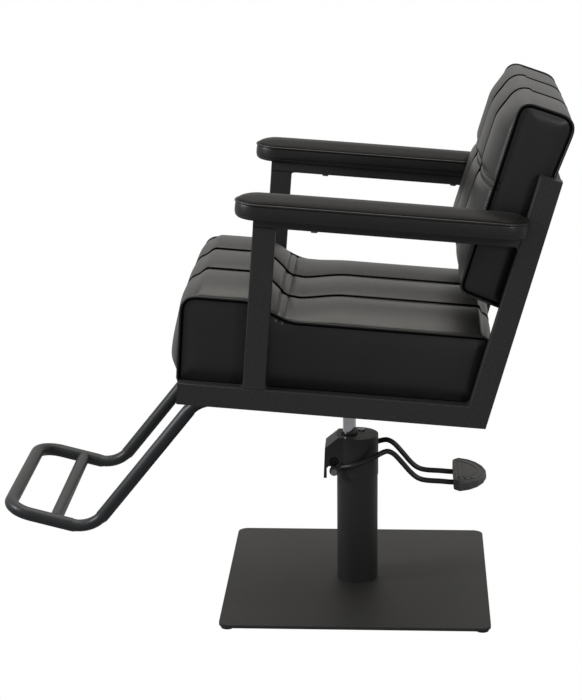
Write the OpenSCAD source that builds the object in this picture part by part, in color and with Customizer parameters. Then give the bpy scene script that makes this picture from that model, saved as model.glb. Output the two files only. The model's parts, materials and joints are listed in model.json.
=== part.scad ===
// Hairdressing chair: a square floor plate, a pump column with a foot lever, and an upholstered
// seat in a frame of rectangular tube, which lifts and turns on the pump's ram.
// Millimetres, +Z up. The sitter faces -Y, and the sitter's left hand is on the +X side.
// The origin is on the floor, under the middle of the chair's outer box.
// A point of the seat frame is written (x, a, b): a runs along the side rails to the rear, and
// b stands square to them.

/* [Floor plate] */
// Side of the square floor plate
plate_side = 500; // [420:10:640]
// Thickness of the floor plate
plate_thick = 6; // [5:0.5:10]
// Radius of the plate's corners
plate_corner_r = 20; // [18:1:60]
// Diameter of the round feet
foot_d = 24; // [16:1:28]
// Height of the feet
foot_h = 4; // [4:0.5:12]
// Distance from the plate's sides to the middle of a foot
foot_inset = 16; // [16:1:30]

/* [Pump column] */
// Outer diameter of the column tube
column_d = 78; // [76:1:86]
// Wall of the column tube
column_wall = 3; // [2:0.5:3.5]
// Height of the pump's top above the floor
pump_top_z = 300; // [290:5:330]
// Height of the sheet cover over the pump's head
cover_h = 80; // [78:1:100]
// Sheet thickness of the cover
cover_wall = 0.8; // [0.6:0.1:1.2]
// Gap between the cover and the column
cover_gap = 0.2; // [0.1:0.1:0.4]
// Reach of the cover's front box from the column's axis
cover_reach = 61; // [59:0.5:66]
// Width of the cover's front box
cover_box_w = 60; // [56:1:66]
// Depth of the cover's sloped face, seen from above
cover_slope_run = 25; // [16:1:26]
// Distance by which the cover's front plate leans out at its foot
cover_lean = 2.5; // [0:0.5:6]
// Height of the cover's sloped face
cover_slope_drop = 20.5; // [14:0.5:22]

/* [Ram] */
// Diameter of the chromed ram
ram_d = 25; // [22:1:28]
// Distance of the ram's axis in front of the column's axis
ram_offset = 15; // [12:1:16]
// Inner diameter of the pump's cylinder
cylinder_bore_d = 31; // [30:1:32]
// Wall of the pump's cylinder
cylinder_wall = 2.5; // [2:0.5:3]
// Radial running clearance of everything that slides or turns
run_gap = 0.05; // [0.02:0.01:0.08]

/* [Foot lever] */
// Distance of the lever's pivot in front of the column's axis
pivot_reach = 43.3; // [42:0.1:44]
// Height of the lever's pivot below the pump's top
pivot_drop = 47.3; // [46:0.1:49]
// Diameter of the pivot pin
pivot_d = 12; // [10:1:13]
// Diameter of the access holes round the pin's heads
pivot_hole_d = 23; // [20:1:24]
// Diameter of the lever rods
rod_d = 10; // [8:0.5:10]
// Distance between the lever rods where they enter the pedal
rod_spacing = 60; // [50:2:76]
// Width of the pedal
pedal_w = 140; // [116:2:150]
// Depth of the pedal
pedal_depth = 64; // [50:1:74]
// Thickness of the pedal at its flat side
pedal_thick = 21; // [18:0.5:26]
// Reach of the pedal's flat side behind the column's axis
pedal_reach = 182.5; // [170:2:220]

/* [Seat frame] */
// Width over the two side frames
frame_w = 528; // [500:4:600]
// Face of the frame tube, as seen from the side
tube_w = 40; // [36:1:44]
// Thickness of the frame tube
tube_t = 25; // [20:1:30]
// Wall of every rectangular tube
tube_wall = 1.5; // [1.2:0.1:2.5]
// Outer corner radius of every rectangular tube
tube_edge_r = 2.5; // [2:0.1:4]
// Backward tilt of the seat frame, in degrees
seat_tilt = 4.4; // [2:0.2:7]
// Height of the rails' underside above the floor, at the column's axis
rail_foot_z = 414.3; // [405:1:440]
// Reach of the rails in front of the column's axis
rail_reach = 316; // [300:2:350]
// Reach of the front uprights' front face
front_upright_reach = 200.5; // [180:2:220]
// Height of the arm rails' underside above the rails' underside
arm_rail_b = 332; // [300:2:370]
// Height of the arm rails' tube
arm_rail_h = 20; // [18:1:25]
// Rearward lean of the back uprights from square, in degrees
back_lean = 11.3; // [8:0.5:13]
// Reach of the back uprights' rear corner behind the column's axis
back_upright_reach = 233.4; // [226:1:250]
// Length of the back uprights along their rear edge
back_upright_len = 460; // [430:5:500]

/* [Cross bars] */
// Height of the cross bars under the seat
seat_bar_h = 20; // [15:1:25]
// Reach of the front cross bar's middle in front of the column's axis
front_bar_reach = 250; // [240:1:265]
// Reach of the second cross bar's middle in front of the column's axis
second_bar_reach = 100; // [96:1:120]
// Reach of the third cross bar's middle behind the column's axis
third_bar_reach = 70; // [60:1:90]
// Reach of the rear cross bar's middle behind the column's axis
rear_bar_reach = 180; // [150:1:182]
// Thickness of the two bars behind the back cushion
back_bar_t = 15; // [12:1:16]
// Height of the lower back bar's underside along the back uprights
low_bar_rise = 224; // [215:1:240]

/* [Seat cushion] */
// Thickness of the plywood seat board
seat_board_t = 15; // [12:1:18]
// Reach of the cushion's front edge in front of the column's axis
seat_front_reach = 319; // [300:1:330]
// Reach of the cushion's rear edge behind the column's axis
seat_rear_reach = 227; // [215:1:230]
// Distance by which the cushion's rear face slants forward at its foot
seat_rear_slant = 12; // [8:1:20]
// Height of the front roll's side piping above the rails' underside
roll_top_b = 191; // [180:1:205]
// Height of the side piping behind the roll
seat_top_b = 159; // [150:1:170]
// Place where the roll ends, in front of the column's axis
roll_end_reach = 212; // [200:1:240]
// Place where the flat of the seat starts, in front of the column's axis
seat_flat_reach = 112; // [100:1:130]
// Radius of the cushion's front top edge
seat_front_r = 30; // [18:1:36]
// Radius of the cushion's rear top edge
seat_rear_r = 14; // [10:1:18]
// Height of the crown over the piping, at the seams between the panels
seam_crown = 11; // [6:0.5:12]
// Puff of each panel over its seams
panel_puff = 12.5; // [5:0.5:14]
// Bulge of the side panels
side_bulge = 3; // [1:0.5:4]
// Gap between a cushion's widest place and the frame beside it
cushion_gap = 2; // [1.5:0.5:5]
// Depth of the sewn cross seam
cross_seam_depth = 5; // [3:0.5:7]

/* [Back cushion] */
// Lean of the back cushion's front face from square, in degrees
back_pad_lean = 12.5; // [12:0.1:13]
// Height of the back cushion along its front face
back_pad_h = 347; // [320:1:380]
// Thickness of the back cushion at its foot
back_pad_foot_t = 76; // [70:1:77]
// Thickness of the back cushion at its top
back_pad_top_t = 98; // [92:1:99]
// Drop of the cushion's foot from its front corner to its rear corner
back_pad_foot_drop = 7; // [4:1:12]
// Reach of the foot's front corner behind the column's axis
back_pad_reach = 167; // [160:1:168]
// Height of the foot's front corner above the rails' underside
back_pad_b = 241; // [236:1:250]
// Bulge of the back cushion's front over its piping, at the panel seams
back_crown = 15; // [6:0.5:18]
// Height of the cross seam above the cushion's foot
back_seam_rise = 195; // [170:1:220]

/* [Arm pads] */
// Length of an arm pad
arm_pad_len = 504; // [470:2:504]
// Width of an arm pad
arm_pad_w = 80; // [70:1:86]
// Reach of the pad's rear tip behind the column's axis
arm_pad_reach = 272; // [262:1:276]
// Distance by which the pad stands out past the side frame
arm_pad_overhang = 44; // [36:1:46]
// Height of the pad's side up to its piping
arm_pad_side_h = 28; // [24:1:34]
// Crown of the pad over its piping
arm_pad_crown = 13; // [8:1:16]
// Thickness of the plywood board in the pad
arm_board_t = 10; // [8:1:12]

/* [Footrest] */
// Diameter of the footrest tube
footrest_d = 25; // [20:1:28]
// Wall of the footrest tube
footrest_wall = 1.5; // [1.2:0.1:3]
// Distance between the middles of the footrest's side tubes
footrest_w = 364; // [320:4:400]
// Length of the slanted legs, between the middles of their bends
footrest_leg = 326.5; // [300:0.5:360]
// Angle of the legs below the rails, in degrees
footrest_leg_angle = 55.7; // [50:0.1:60]
// Length of the loop's side tubes
footrest_loop = 160; // [140:5:190]
// Angle by which the loop rises to the front from the rails' direction, in degrees
footrest_loop_angle = 9.9; // [5:0.5:15]
// Place of the legs' upper bend, in front of the column's axis
footrest_bend_reach = 284; // [275:1:290]
// Reach of the tube's fixed ends in front of the column's axis
footrest_end_reach = 74; // [60:1:82]
// Radius of the four bends between legs and level runs
footrest_bend_r = 60; // [50:1:65]
// Radius of the loop's two front corners
footrest_corner_r = 45; // [35:1:55]
// Place of the loop's cross bar, as a share of the side tube's length
cross_bar_share = 0.434; // [0.35:0.002:0.55]
// Diameter of the loop's cross bar
cross_bar_d = 24; // [16:1:24]

/* [Hidden] */
$fn = 64;

// Overrun of every cut past the face that it opens
over = 1;
// Scale value for a place to the right of the middle plane
right = -1;
frame_black = [0.10, 0.10, 0.105];
leather_black = [0.14, 0.14, 0.145];
zinc = [0.72, 0.73, 0.75];
plywood = [0.70, 0.55, 0.38];

// Floor plate and column
plate_top_z = foot_h + plate_thick;
plate_bolt_d = 10;
plate_bolt_head_d = 18;
plate_bolt_head_h = 4;
plate_bolt_len = 15;
plate_bolt_circle_d = 50;
disc_h = 12;
disc_top_z = plate_top_z + disc_h;
cover_lap = 8;
column_top_z = pump_top_z - cover_h + cover_lap;
column_inner_d = column_d - 2 * column_wall;

// Pump head
head_top_z = pump_top_z - cover_wall;
spigot_h = 20;
spigot_gap = 0.1;
spigot_foot_z = column_top_z - spigot_h;
block_gap = 1.2;
block_reach = cover_reach - cover_wall - block_gap;
block_w = cover_box_w - 2 * (cover_wall + cover_gap);
pivot_z = pump_top_z - pivot_drop;
shaft_drop = 16;
shaft_z = pivot_z - shaft_drop;
lever_swing = 20;
shaft_gap = 0.35;
block_foot_z = pivot_z - shaft_drop * cos(lever_swing) + rod_d / 2 + shaft_gap;
bush_wall = 2.5;
bush_d = ram_d + 2 * run_gap + 2 * bush_wall;
wiper_d = bush_d + 2;
wiper_h = 5;
wiper_proud = 1.2;
plug_d = 12;
plug_h = 14;
plug_head_d = 15;
plug_head_h = 2;
plug_slot_w = 1.6;
plug_x = -23;
plug_y = 7;

// Rocker, plunger and cross shaft
rocker_r = 10;
rocker_w = 19;
rocker_side_gap = 0.5;
slot_gap = 1.2;
nose_reach = 8.7;
nose_rise = 6.3;
nose_r = 4;
nose_top_z = pivot_z + nose_rise + nose_r;
plunger_d = 8;
plunger_gap = 0.3;
plunger_len = 8;
spring_wire_d = 1;
spring_turns = 4;
spring_rings = 12;
spring_sides = 6;
spring_pitch = 1.8;
spring_d = plunger_d - 2 * spring_wire_d;
plunger_room = spring_turns * spring_pitch + spring_wire_d;
slot_rise = 14.8;
slot_top_z = pivot_z + slot_rise;
boss_r = 7.5;
pin_head_d = 20;
pin_head_h = 2.5;
pin_sink = 4;
eye_d = 18;
eye_t = 7.6;
eye_gap = 2.6;
eye_inner_x = cover_box_w / 2 + eye_gap;
nut_across = 12;
nut_h = 6;
shaft_tip = 1.5;
notch_r = 15;
notch_top_gap = 1.6;
lip_w = 6;

// Course of a lever rod: place across as a share of the rods' half spacing in the pedal, place
// along as a share of the pedal's reach, and height as a share of the pump's height
rod_course_shares = [[1.215, -0.2, 0.805], [1.215, -0.152, 0.813], [1.4, -0.1, 0.824],
    [1.54, -0.04, 0.836], [1.56, 0.07, 0.862], [1.44, 0.19, 0.896], [1.24, 0.275, 0.917],
    [1.12, 0.325, 0.919], [1.06, 0.385, 0.899], [1.03, 0.46, 0.849], [1, 0.56, 0.777],
    [1, 0.635, 0.74], [1, 0.72, 0.725], [1, 0.87, 0.7195], [1, 0.99, 0.714], [1, 1.15, 0.713]];
rod_sides = 12;
rod_steps = 3;

// Pedal
pedal_tip_t_share = 0.62;
pedal_rod_z_share = 0.713;
pedal_edge_r = 4;
pedal_foot_z = pump_top_z * pedal_rod_z_share - rod_d / 2;
pedal_back_r = 12;
rod_gap = 0.15;
rod_hole_share = 0.156;
rod_hole_len = rod_hole_share * pedal_reach;

// Seat side frames
seat_bar_places = [-front_bar_reach, -second_bar_reach, third_bar_reach, rear_bar_reach];
rail_x = frame_w / 2 - tube_t / 2;
inner_w = frame_w - 2 * tube_t;
back_front_face = back_upright_reach - tube_w / cos(back_lean);
cap_t = 2;
mitre_inner = back_front_face + tube_w * tan(back_lean);

// Bracket under the seat
socket_d = 45;
socket_drop = 64;
bracket_w = 200;
bracket_t = 4;
bracket_side_h = 24;
bracket_margin = 34;
bracket_bolt_d = 8;
bracket_bolt_inset = 20;
hex_across = 13;
hex_h = 5.3;
ram_top_gap = 6;
swivel_y = -ram_offset;

// Seat board and cushion
seat_board_gap = 6;
seat_board_edge = 18;
seat_base_b = seat_bar_h + seat_board_t;
screw_d = 6;
screw_head_d = 12;
screw_head_h = 3.5;
cushion_half_w = inner_w / 2 - cushion_gap - side_bulge;
panels = 3;
panel_shares = [0, 0.07, 0.22, 0.5, 0.78, 0.93];
cap_share = 0.86;
seam_reach = 142;
seam_half_w = 16;
seam_low_reach = 110;
seam_low_run = 180;
seat_front_h = seat_top_b - seat_base_b;
// Share of the full crown that is left at the seat's rounded edges
edge_share = 0.3;

// Back cushion
back_pad_front_r = 24;
back_pad_top_r = 30;
back_pad_foot_r = 16;
back_seam_half_w = 22;
back_swell_h = 75;
back_rear_swell_h = 262;
// Shares of the full crown: at the rear top edge, over the top, at the foot, and at the front's
// top edge
back_rear_share = 0.35;
back_top_share = 0.35;
back_foot_share = 0.15;
back_brow_share = 0.4;
board_t = 12;
board_cover = 8;
board_side = 60;
board_foot = 8;
board_gap = 0.3;
pad_gap = 0.3;
back_bolt_d = 8;
back_bolt_spacing_share = 0.62;

// Arm pads
arm_pad_x = frame_w / 2 + arm_pad_overhang - arm_pad_w / 2;
arm_top_b = arm_rail_b + arm_rail_h;
arm_board_margin = 12;
arm_bolt_reach = 94;
arm_bolt_rear = 157;
arm_steps = 10;
notch_gap = 0.3;
arm_relief = 8;

// Footrest
footrest_drop = footrest_d / 2;
footrest_bolt_d = 8;
footrest_inner_r = footrest_d / 2 - footrest_wall;
footrest_sides = 16;
footrest_bend_steps = 9;
cap_head_d = 13;
cap_head_h = 6;
footrest_low_a = -footrest_bend_reach - footrest_leg * cos(footrest_leg_angle);
footrest_low_b = -footrest_drop - footrest_leg * sin(footrest_leg_angle);
footrest_tip_a = footrest_low_a - footrest_loop * cos(footrest_loop_angle);
footrest_tip_b = footrest_low_b + footrest_loop * sin(footrest_loop_angle);

// Places a shape that is written about the column's axis
module at_column() {
    translate([0, column_y, 0]) children();
}

// Places a shape that is written in the seat frame's own directions
module on_seat() {
    at_column() translate([0, 0, rail_foot_z]) rotate([-seat_tilt, 0, 0]) children();
}

// A cylinder along X, with its middle at the origin
module bar_x(d, len) {
    rotate([0, 90, 0]) cylinder(d = d, h = len, center = true);
}

// A prism along X, w wide, from an outline of (y, z) points
module slab_x(w, outline) {
    translate([-w / 2, 0, 0]) rotate([90, 0, 90]) linear_extrude(height = w) polygon(outline);
}

// A hexagon head or nut that stands on z = 0
module hex(across, h) {
    cylinder(d = across / cos(180 / 6), h = h, $fn = 6);
}

// Floor plate and column

module plate_bolt_places() {
    for (turn = [0:3])
        rotate([0, 0, 45 + 90 * turn]) translate([plate_bolt_circle_d / 2, 0, 0]) children();
}

module plate_bolt_shape(gap) {
    translate([0, 0, foot_h])
        cylinder(d1 = plate_bolt_head_d + gap, d2 = plate_bolt_d + gap, h = plate_bolt_head_h);
    translate([0, 0, foot_h]) cylinder(d = plate_bolt_d + gap, h = plate_bolt_len);
}

module rounded_plate(side, r, h) {
    flat = side - 2 * r;
    linear_extrude(height = h) union() {
        square([side, flat], center = true);
        square([flat, side], center = true);
        for (x = [-1, 1], y = [-1, 1]) translate([x * flat / 2, y * flat / 2]) circle(r = r);
    }
}

module floor_plate() {
    color(frame_black) at_column() difference() {
        translate([0, 0, foot_h]) rounded_plate(plate_side, plate_corner_r, plate_thick);
        plate_bolt_places() plate_bolt_shape(run_gap);
        translate([0, 0, foot_h - over]) plate_bolt_places() cylinder(d = plate_bolt_head_d, h = over);
    }
}

module floor_feet() {
    reach = plate_side / 2 - foot_inset;
    color([0.05, 0.05, 0.05]) at_column()
        for (x = [-1, 1], y = [-1, 1]) translate([x * reach, y * reach, 0])
            cylinder(d = foot_d, h = foot_h);
}

module column_tube() {
    color(frame_black) at_column() difference() {
        translate([0, 0, plate_top_z]) cylinder(d = column_d, h = column_top_z - plate_top_z);
        translate([0, 0, plate_top_z - over])
            cylinder(d = column_inner_d, h = column_top_z - plate_top_z + 2 * over);
    }
}

module column_foot_disc() {
    color(zinc) at_column() difference() {
        translate([0, 0, plate_top_z]) cylinder(d = column_inner_d - spigot_gap, h = disc_h);
        plate_bolt_places() plate_bolt_shape(run_gap);
    }
}

module column_bolts() {
    color(zinc) at_column() plate_bolt_places() plate_bolt_shape(0);
}

// Pump

module at_ram() {
    at_column() translate([0, swivel_y, 0]) children();
}

module pump_cylinder() {
    outer = cylinder_bore_d + 2 * cylinder_wall;
    color(zinc) at_ram() difference() {
        translate([0, 0, disc_top_z]) cylinder(d = outer, h = spigot_foot_z - disc_top_z);
        translate([0, 0, disc_top_z - over])
            cylinder(d = cylinder_bore_d, h = spigot_foot_z - disc_top_z + 2 * over);
    }
}

piston_h = 18;
piston_lift = 6;
piston_foot_z = disc_top_z + piston_lift;
piston_d = cylinder_bore_d - 2 * run_gap;
seal_h = 4;
seal_depth = 2;
seal_rise = 3;

module seal_ring(outer_d) {
    translate([0, 0, piston_foot_z + seal_rise]) difference() {
        cylinder(d = outer_d, h = seal_h);
        translate([0, 0, -over]) cylinder(d = piston_d - 2 * seal_depth, h = seal_h + 2 * over);
    }
}

// The ram turns on its spigot in the piston
spigot_d = 14;
spigot_len = 10;
ram_foot_z = piston_foot_z + piston_h;

module piston_head() {
    color([0.3, 0.3, 0.32]) at_ram() difference() {
        translate([0, 0, piston_foot_z]) cylinder(d = piston_d, h = piston_h);
        seal_ring(cylinder_bore_d);
        translate([0, 0, ram_foot_z - spigot_len])
            cylinder(d = spigot_d + 2 * run_gap, h = spigot_len + over);
    }
}

module piston_seal() {
    color([0.05, 0.05, 0.05]) at_ram() seal_ring(piston_d);
}

ram_top_z = rail_foot_z - bracket_t - ram_top_gap;
ram_nose_h = 4;

module ram() {
    color([0.82, 0.83, 0.85]) at_ram() {
        translate([0, 0, ram_foot_z - spigot_len + run_gap]) cylinder(d = spigot_d, h = spigot_len);
        translate([0, 0, ram_foot_z]) cylinder(d = ram_d, h = ram_top_z - ram_nose_h - ram_foot_z);
        translate([0, 0, ram_top_z - ram_nose_h])
            cylinder(d1 = ram_d, d2 = ram_d - ram_nose_h, h = ram_nose_h);
    }
}

// The front box of the pump's head, from its outer sizes, with its sloped face
module head_box(w, reach, lean, foot_z, top_z, inset) {
    slope_y = -(cover_reach - cover_slope_run);
    side = inset * (sqrt(pow(cover_slope_run, 2) + pow(cover_slope_drop, 2)) / cover_slope_drop);
    top_y = slope_y + side - (pump_top_z - top_z) * cover_slope_run / cover_slope_drop;
    front_z = top_z - (reach + top_y) * cover_slope_drop / cover_slope_run;
    slab_x(w, [[0, foot_z], [0, top_z], [top_y, top_z], [-reach, front_z], [-reach - lean, foot_z]]);
}

module pump_head() {
    color([0.35, 0.35, 0.36]) at_column() difference() {
        union() {
            translate([0, 0, spigot_foot_z])
                cylinder(d = column_inner_d - spigot_gap, h = spigot_h + over);
            translate([0, 0, column_top_z]) cylinder(d = column_d, h = head_top_z - column_top_z);
            head_box(block_w, block_reach, 0, block_foot_z, head_top_z, cover_wall + block_gap);
        }
        translate([0, swivel_y, spigot_foot_z - over])
            cylinder(d = bush_d, h = head_top_z - spigot_foot_z + 2 * over);
        translate([0, swivel_y, head_top_z - wiper_h]) cylinder(d = wiper_d, h = wiper_h + over);
        lever_slot();
        translate([0, -pivot_reach, pivot_z]) bar_x(pivot_d, 2 * cover_box_w);
        translate([0, -pivot_reach - nose_reach, slot_top_z - over])
            cylinder(d = plunger_d + 2 * run_gap, h = plunger_bore_top_z - slot_top_z + over);
        translate([plug_x, plug_y, head_top_z - plug_h]) cylinder(d = plug_d, h = plug_h + over);
        pin_head_recesses();
    }
}

slot_back = pivot_reach - rocker_r - slot_gap;
plunger_foot_z = nose_top_z + plunger_gap;
plunger_bore_top_z = plunger_foot_z + plunger_len + plunger_room;

module lever_slot() {
    w = rocker_w + 2 * rocker_side_gap;
    slab_x(w, [[-slot_back, spigot_foot_z + spigot_h + over], [-slot_back, slot_top_z],
        [-cover_reach, slot_top_z], [-cover_reach, spigot_foot_z + spigot_h + over]]);
}

module pin_head_recesses() {
    for (side = [-1, 1]) translate([side * block_w / 2, -pivot_reach, pivot_z])
        bar_x(pin_head_d + run_gap, 2 * (pin_head_h + pin_sink));
}

// The shell is the outer form less the same form set in by the sheet's thickness
module head_cover() {
    skirt_z = pump_top_z - cover_h;
    notch_top_z = shaft_z + rod_d / 2 + notch_top_gap;
    color(frame_black) at_column() difference() {
        union() {
            translate([0, 0, skirt_z])
                cylinder(d = column_d + 2 * (cover_gap + cover_wall), h = cover_h);
            head_box(cover_box_w, cover_reach, cover_lean, skirt_z, pump_top_z, 0);
        }
        translate([0, 0, skirt_z - over])
            cylinder(d = column_d + 2 * cover_gap, h = head_top_z - skirt_z + over);
        head_box(cover_box_w - 2 * cover_wall, cover_reach - cover_wall, cover_lean, skirt_z - over,
            head_top_z, cover_wall);
        translate([0, swivel_y, head_top_z - over]) cylinder(d = wiper_d, h = 2 * over + wiper_h);
        translate([plug_x, plug_y, head_top_z - over]) cylinder(d = plug_d, h = cover_wall + 2 * over);
        translate([0, -pivot_reach, pivot_z]) bar_x(pivot_hole_d, 2 * cover_box_w);
        cheek_notch(notch_top_z, skirt_z);
    }
}

// The cheeks are cut away round the lever's cross shaft, and the front lip stays
module cheek_notch(top_z, foot_z) {
    front = cover_reach + cover_lean - lip_w;
    back = pivot_reach - notch_r;
    for (side = [-1, 1]) translate([side * cover_box_w / 2, 0, 0])
        slab_x(2 * block_gap, [[-back, foot_z - over], [-back, top_z - notch_r / 2],
            [-back - notch_r / 2, top_z], [-front, top_z], [-front, foot_z - over]]);
}

module guide_bush() {
    color([0.75, 0.6, 0.3]) at_ram() difference() {
        translate([0, 0, spigot_foot_z]) cylinder(d = bush_d, h = head_top_z - wiper_h - spigot_foot_z);
        translate([0, 0, spigot_foot_z - over])
            cylinder(d = ram_d + 2 * run_gap, h = head_top_z - spigot_foot_z);
    }
}

module wiper_seal() {
    h = wiper_h + cover_wall + wiper_proud;
    color([0.03, 0.03, 0.03]) at_ram() difference() {
        translate([0, 0, head_top_z - wiper_h]) cylinder(d = wiper_d, h = h);
        translate([0, 0, head_top_z - wiper_h - over])
            cylinder(d = ram_d + 2 * run_gap, h = h + 2 * over);
    }
}

module oil_filler_plug() {
    color(zinc) at_column() translate([plug_x, plug_y, pump_top_z]) difference() {
        union() {
            cylinder(d = plug_head_d, h = plug_head_h);
            translate([0, 0, -plug_h + cover_wall]) cylinder(d = plug_d, h = plug_h);
        }
        translate([-plug_head_d, -plug_slot_w / 2, plug_head_h / 2])
            cube([2 * plug_head_d, plug_slot_w, plug_head_h]);
    }
}

// Foot lever

module lever_pivot_pin() {
    color([0.06, 0.06, 0.06]) at_column() translate([0, -pivot_reach, pivot_z]) {
        bar_x(pivot_d, block_w - 2 * pin_sink);
        for (side = [-1, 1])
            translate([side * (block_w / 2 - pin_sink - pin_head_h / 2), 0, 0])
                bar_x(pin_head_d, pin_head_h);
    }
}

module pump_plunger() {
    color(zinc) at_column() translate([0, -pivot_reach - nose_reach, plunger_foot_z])
        cylinder(d = plunger_d, h = plunger_len);
}

// The spring that pushes the plunger and the lever back: it fills the bore above the plunger
module plunger_spring() {
    count = spring_turns * spring_rings;
    course = [for (i = [0:count]) let(t = 360 * i / spring_rings)
        [spring_d / 2 * cos(t), spring_d / 2 * sin(t), spring_wire_d / 2 + spring_pitch * t / 360]];
    color([0.6, 0.6, 0.62]) at_column()
        translate([0, -pivot_reach - nose_reach, plunger_foot_z + plunger_len])
            skin(coil_rings(course, spring_wire_d / 2, spring_sides));
}

// The rocker turns on the pin between the walls of the head: its nose lifts the plunger, and its
// boss holds the shaft that the two rods hang on
module lever_rocker() {
    color([0.2, 0.2, 0.2]) at_column() translate([0, -pivot_reach, pivot_z]) difference() {
        union() {
            bar_x(2 * rocker_r, rocker_w);
            translate([0, 0, -shaft_drop]) bar_x(2 * boss_r, rocker_w);
            slab_x(rocker_w, [[-boss_r, -shaft_drop], [-rocker_r, 0], [rocker_r, 0],
                [boss_r, -shaft_drop]]);
            translate([0, -nose_reach, nose_rise]) bar_x(2 * nose_r, rocker_w);
            slab_x(rocker_w, [[-nose_reach - nose_r, nose_rise], [-rocker_r, 0], [0, 0],
                [0, rocker_r], [-nose_reach, nose_rise + nose_r]]);
        }
        bar_x(pivot_d + 2 * run_gap, 2 * rocker_w);
        translate([0, 0, -shaft_drop]) bar_x(rod_d, 2 * rocker_w);
    }
}

shaft_half = eye_inner_x + eye_t + nut_h + shaft_tip;

module at_shaft() {
    at_column() translate([0, -pivot_reach, shaft_z]) children();
}

module lever_cross_shaft() {
    color(zinc) at_shaft() bar_x(rod_d, 2 * shaft_half);
}

module lever_nuts() {
    color(zinc) at_shaft() for (side = [-1, 1]) scale_side(side)
        translate([eye_inner_x + eye_t, 0, 0]) rotate([0, 90, 0]) difference() {
            hex(nut_across, nut_h);
            translate([0, 0, -over]) cylinder(d = rod_d, h = nut_h + 2 * over);
        }
}

// Mirrors a shape to the right-hand side when side is -1
module scale_side(side) {
    mirror([side == right ? 1 : 0, 0, 0]) children();
}

// Points between two neighbours of a course, on a smooth curve through all of them
function spline(p, i, t) =
    let(n = len(p) - 1, a = p[max(i - 1, 0)], b = p[i], c = p[min(i + 1, n)], d = p[min(i + 2, n)])
    0.5 * (2 * b + (c - a) * t + (2 * a - 5 * b + 4 * c - d) * t * t
        + (3 * b - a - 3 * c + d) * t * t * t);

function course(p, steps) =
    [for (i = [0:len(p) - 2], s = [0:steps - 1]) spline(p, i, s / steps), p[len(p) - 1]];

function unit(v) = v / norm(v);

// Rings of a round tube along a course that never runs along the side vector
function tube_rings(path, r, sides, side_vector) =
    [for (i = [0:len(path) - 1])
        let(t = unit(path[min(i + 1, len(path) - 1)] - path[max(i - 1, 0)]),
            u = unit(cross(t, side_vector)), v = cross(t, u))
        [for (j = [0:sides - 1]) path[i] + r * (cos(360 * j / sides) * u + sin(360 * j / sides) * v)]];

// Rings of a round wire along a coil about the Z axis
function coil_rings(path, r, sides) =
    [for (i = [0:len(path) - 1])
        let(out = unit([path[i][0], path[i][1], 0]))
        [for (j = [0:sides - 1]) path[i] + r * (cos(360 * j / sides) * out
            - sin(360 * j / sides) * [0, 0, 1])]];

// A closed skin over rings of points, each with as many points, capped at both ends
module skin(rings) {
    n = len(rings);
    m = len(rings[0]);
    points = [for (ring = rings) for (p = ring) p];
    ends = [mean(rings[0]), mean(rings[n - 1])];
    faces = [for (i = [0:n - 2], j = [0:m - 1])
        let(a = i * m + j, b = i * m + (j + 1) % m, c = b + m, d = a + m) each [[a, d, c], [a, c, b]]];
    first = [for (j = [0:m - 1]) [n * m, j, (j + 1) % m]];
    last = [for (j = [0:m - 1]) [n * m + 1, (n - 1) * m + (j + 1) % m, (n - 1) * m + j]];
    polyhedron(concat(points, ends), concat(faces, first, last));
}

function mean(v, i = 0) = i == len(v) - 1 ? v[i] / len(v) : v[i] / len(v) + mean(v, i + 1);

rod_course = [for (s = rod_course_shares)
    [s[0] * rod_spacing / 2, s[1] * pedal_reach, s[2] * pump_top_z]];

module lever_rod(side) {
    color([0.16, 0.16, 0.17]) at_column() scale_side(side) difference() {
        union() {
            skin(tube_rings(course(rod_course, rod_steps), rod_d / 2, rod_sides, [1, 0, 0]));
            translate([eye_inner_x + eye_t / 2, -pivot_reach, shaft_z]) bar_x(eye_d, eye_t);
        }
        translate([eye_inner_x, -pivot_reach, shaft_z]) bar_x(rod_d, 2 * eye_d);
    }
}

module left_lever_rod() {
    lever_rod(1);
}

module right_lever_rod() {
    lever_rod(right);
}

// The pedal is half round in plan, and thins towards its tip
module pedal() {
    tip_t = pedal_thick * pedal_tip_t_share;
    r = pedal_w / 2;
    color([0.2, 0.2, 0.21]) at_column() translate([0, pedal_reach, pedal_foot_z]) difference() {
        hull() {
            for (side = [-1, 1], z = [pedal_edge_r, pedal_thick - pedal_edge_r])
                translate([side * (r - pedal_back_r), pedal_edge_r, z]) sphere(r = pedal_edge_r, $fn = 16);
            for (turn = [0:20:180])
                translate([(r - pedal_edge_r) * cos(turn),
                    pedal_back_r + (pedal_depth - pedal_back_r - pedal_edge_r) * sin(turn),
                    pedal_thick - pedal_edge_r - (pedal_thick - tip_t) * sin(turn) / 2])
                    sphere(r = pedal_edge_r, $fn = 16);
            for (turn = [0:20:180])
                translate([(r - pedal_edge_r) * cos(turn),
                    pedal_back_r + (pedal_depth - pedal_back_r - pedal_edge_r) * sin(turn),
                    pedal_edge_r + (pedal_thick - tip_t) * sin(turn) / 2])
                    sphere(r = pedal_edge_r, $fn = 16);
        }
        for (side = [-1, 1]) translate([side * rod_spacing / 2, -over, rod_d / 2])
            rotate([-90, 0, 0]) cylinder(d = rod_d + 2 * rod_gap, h = rod_hole_len + over);
    }
}

// Bracket and ram socket

module above_bracket(b) {
    on_seat() translate([-frame_w / 2, -rail_reach, b]) cube([frame_w, 2 * rail_reach, frame_w]);
}

module ram_socket() {
    color(frame_black) difference() {
        at_ram() difference() {
            translate([0, 0, rail_foot_z - socket_drop]) cylinder(d = socket_d, h = 2 * socket_drop);
            translate([0, 0, rail_foot_z - socket_drop - over])
                cylinder(d = ram_d, h = 2 * socket_drop + 2 * over);
        }
        above_bracket(-bracket_t);
    }
}

bracket_front = seat_bar_places[1] - bracket_margin;
bracket_rear = seat_bar_places[2] + bracket_margin;
bracket_bolt_x = bracket_w / 2 - bracket_bolt_inset;

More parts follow.
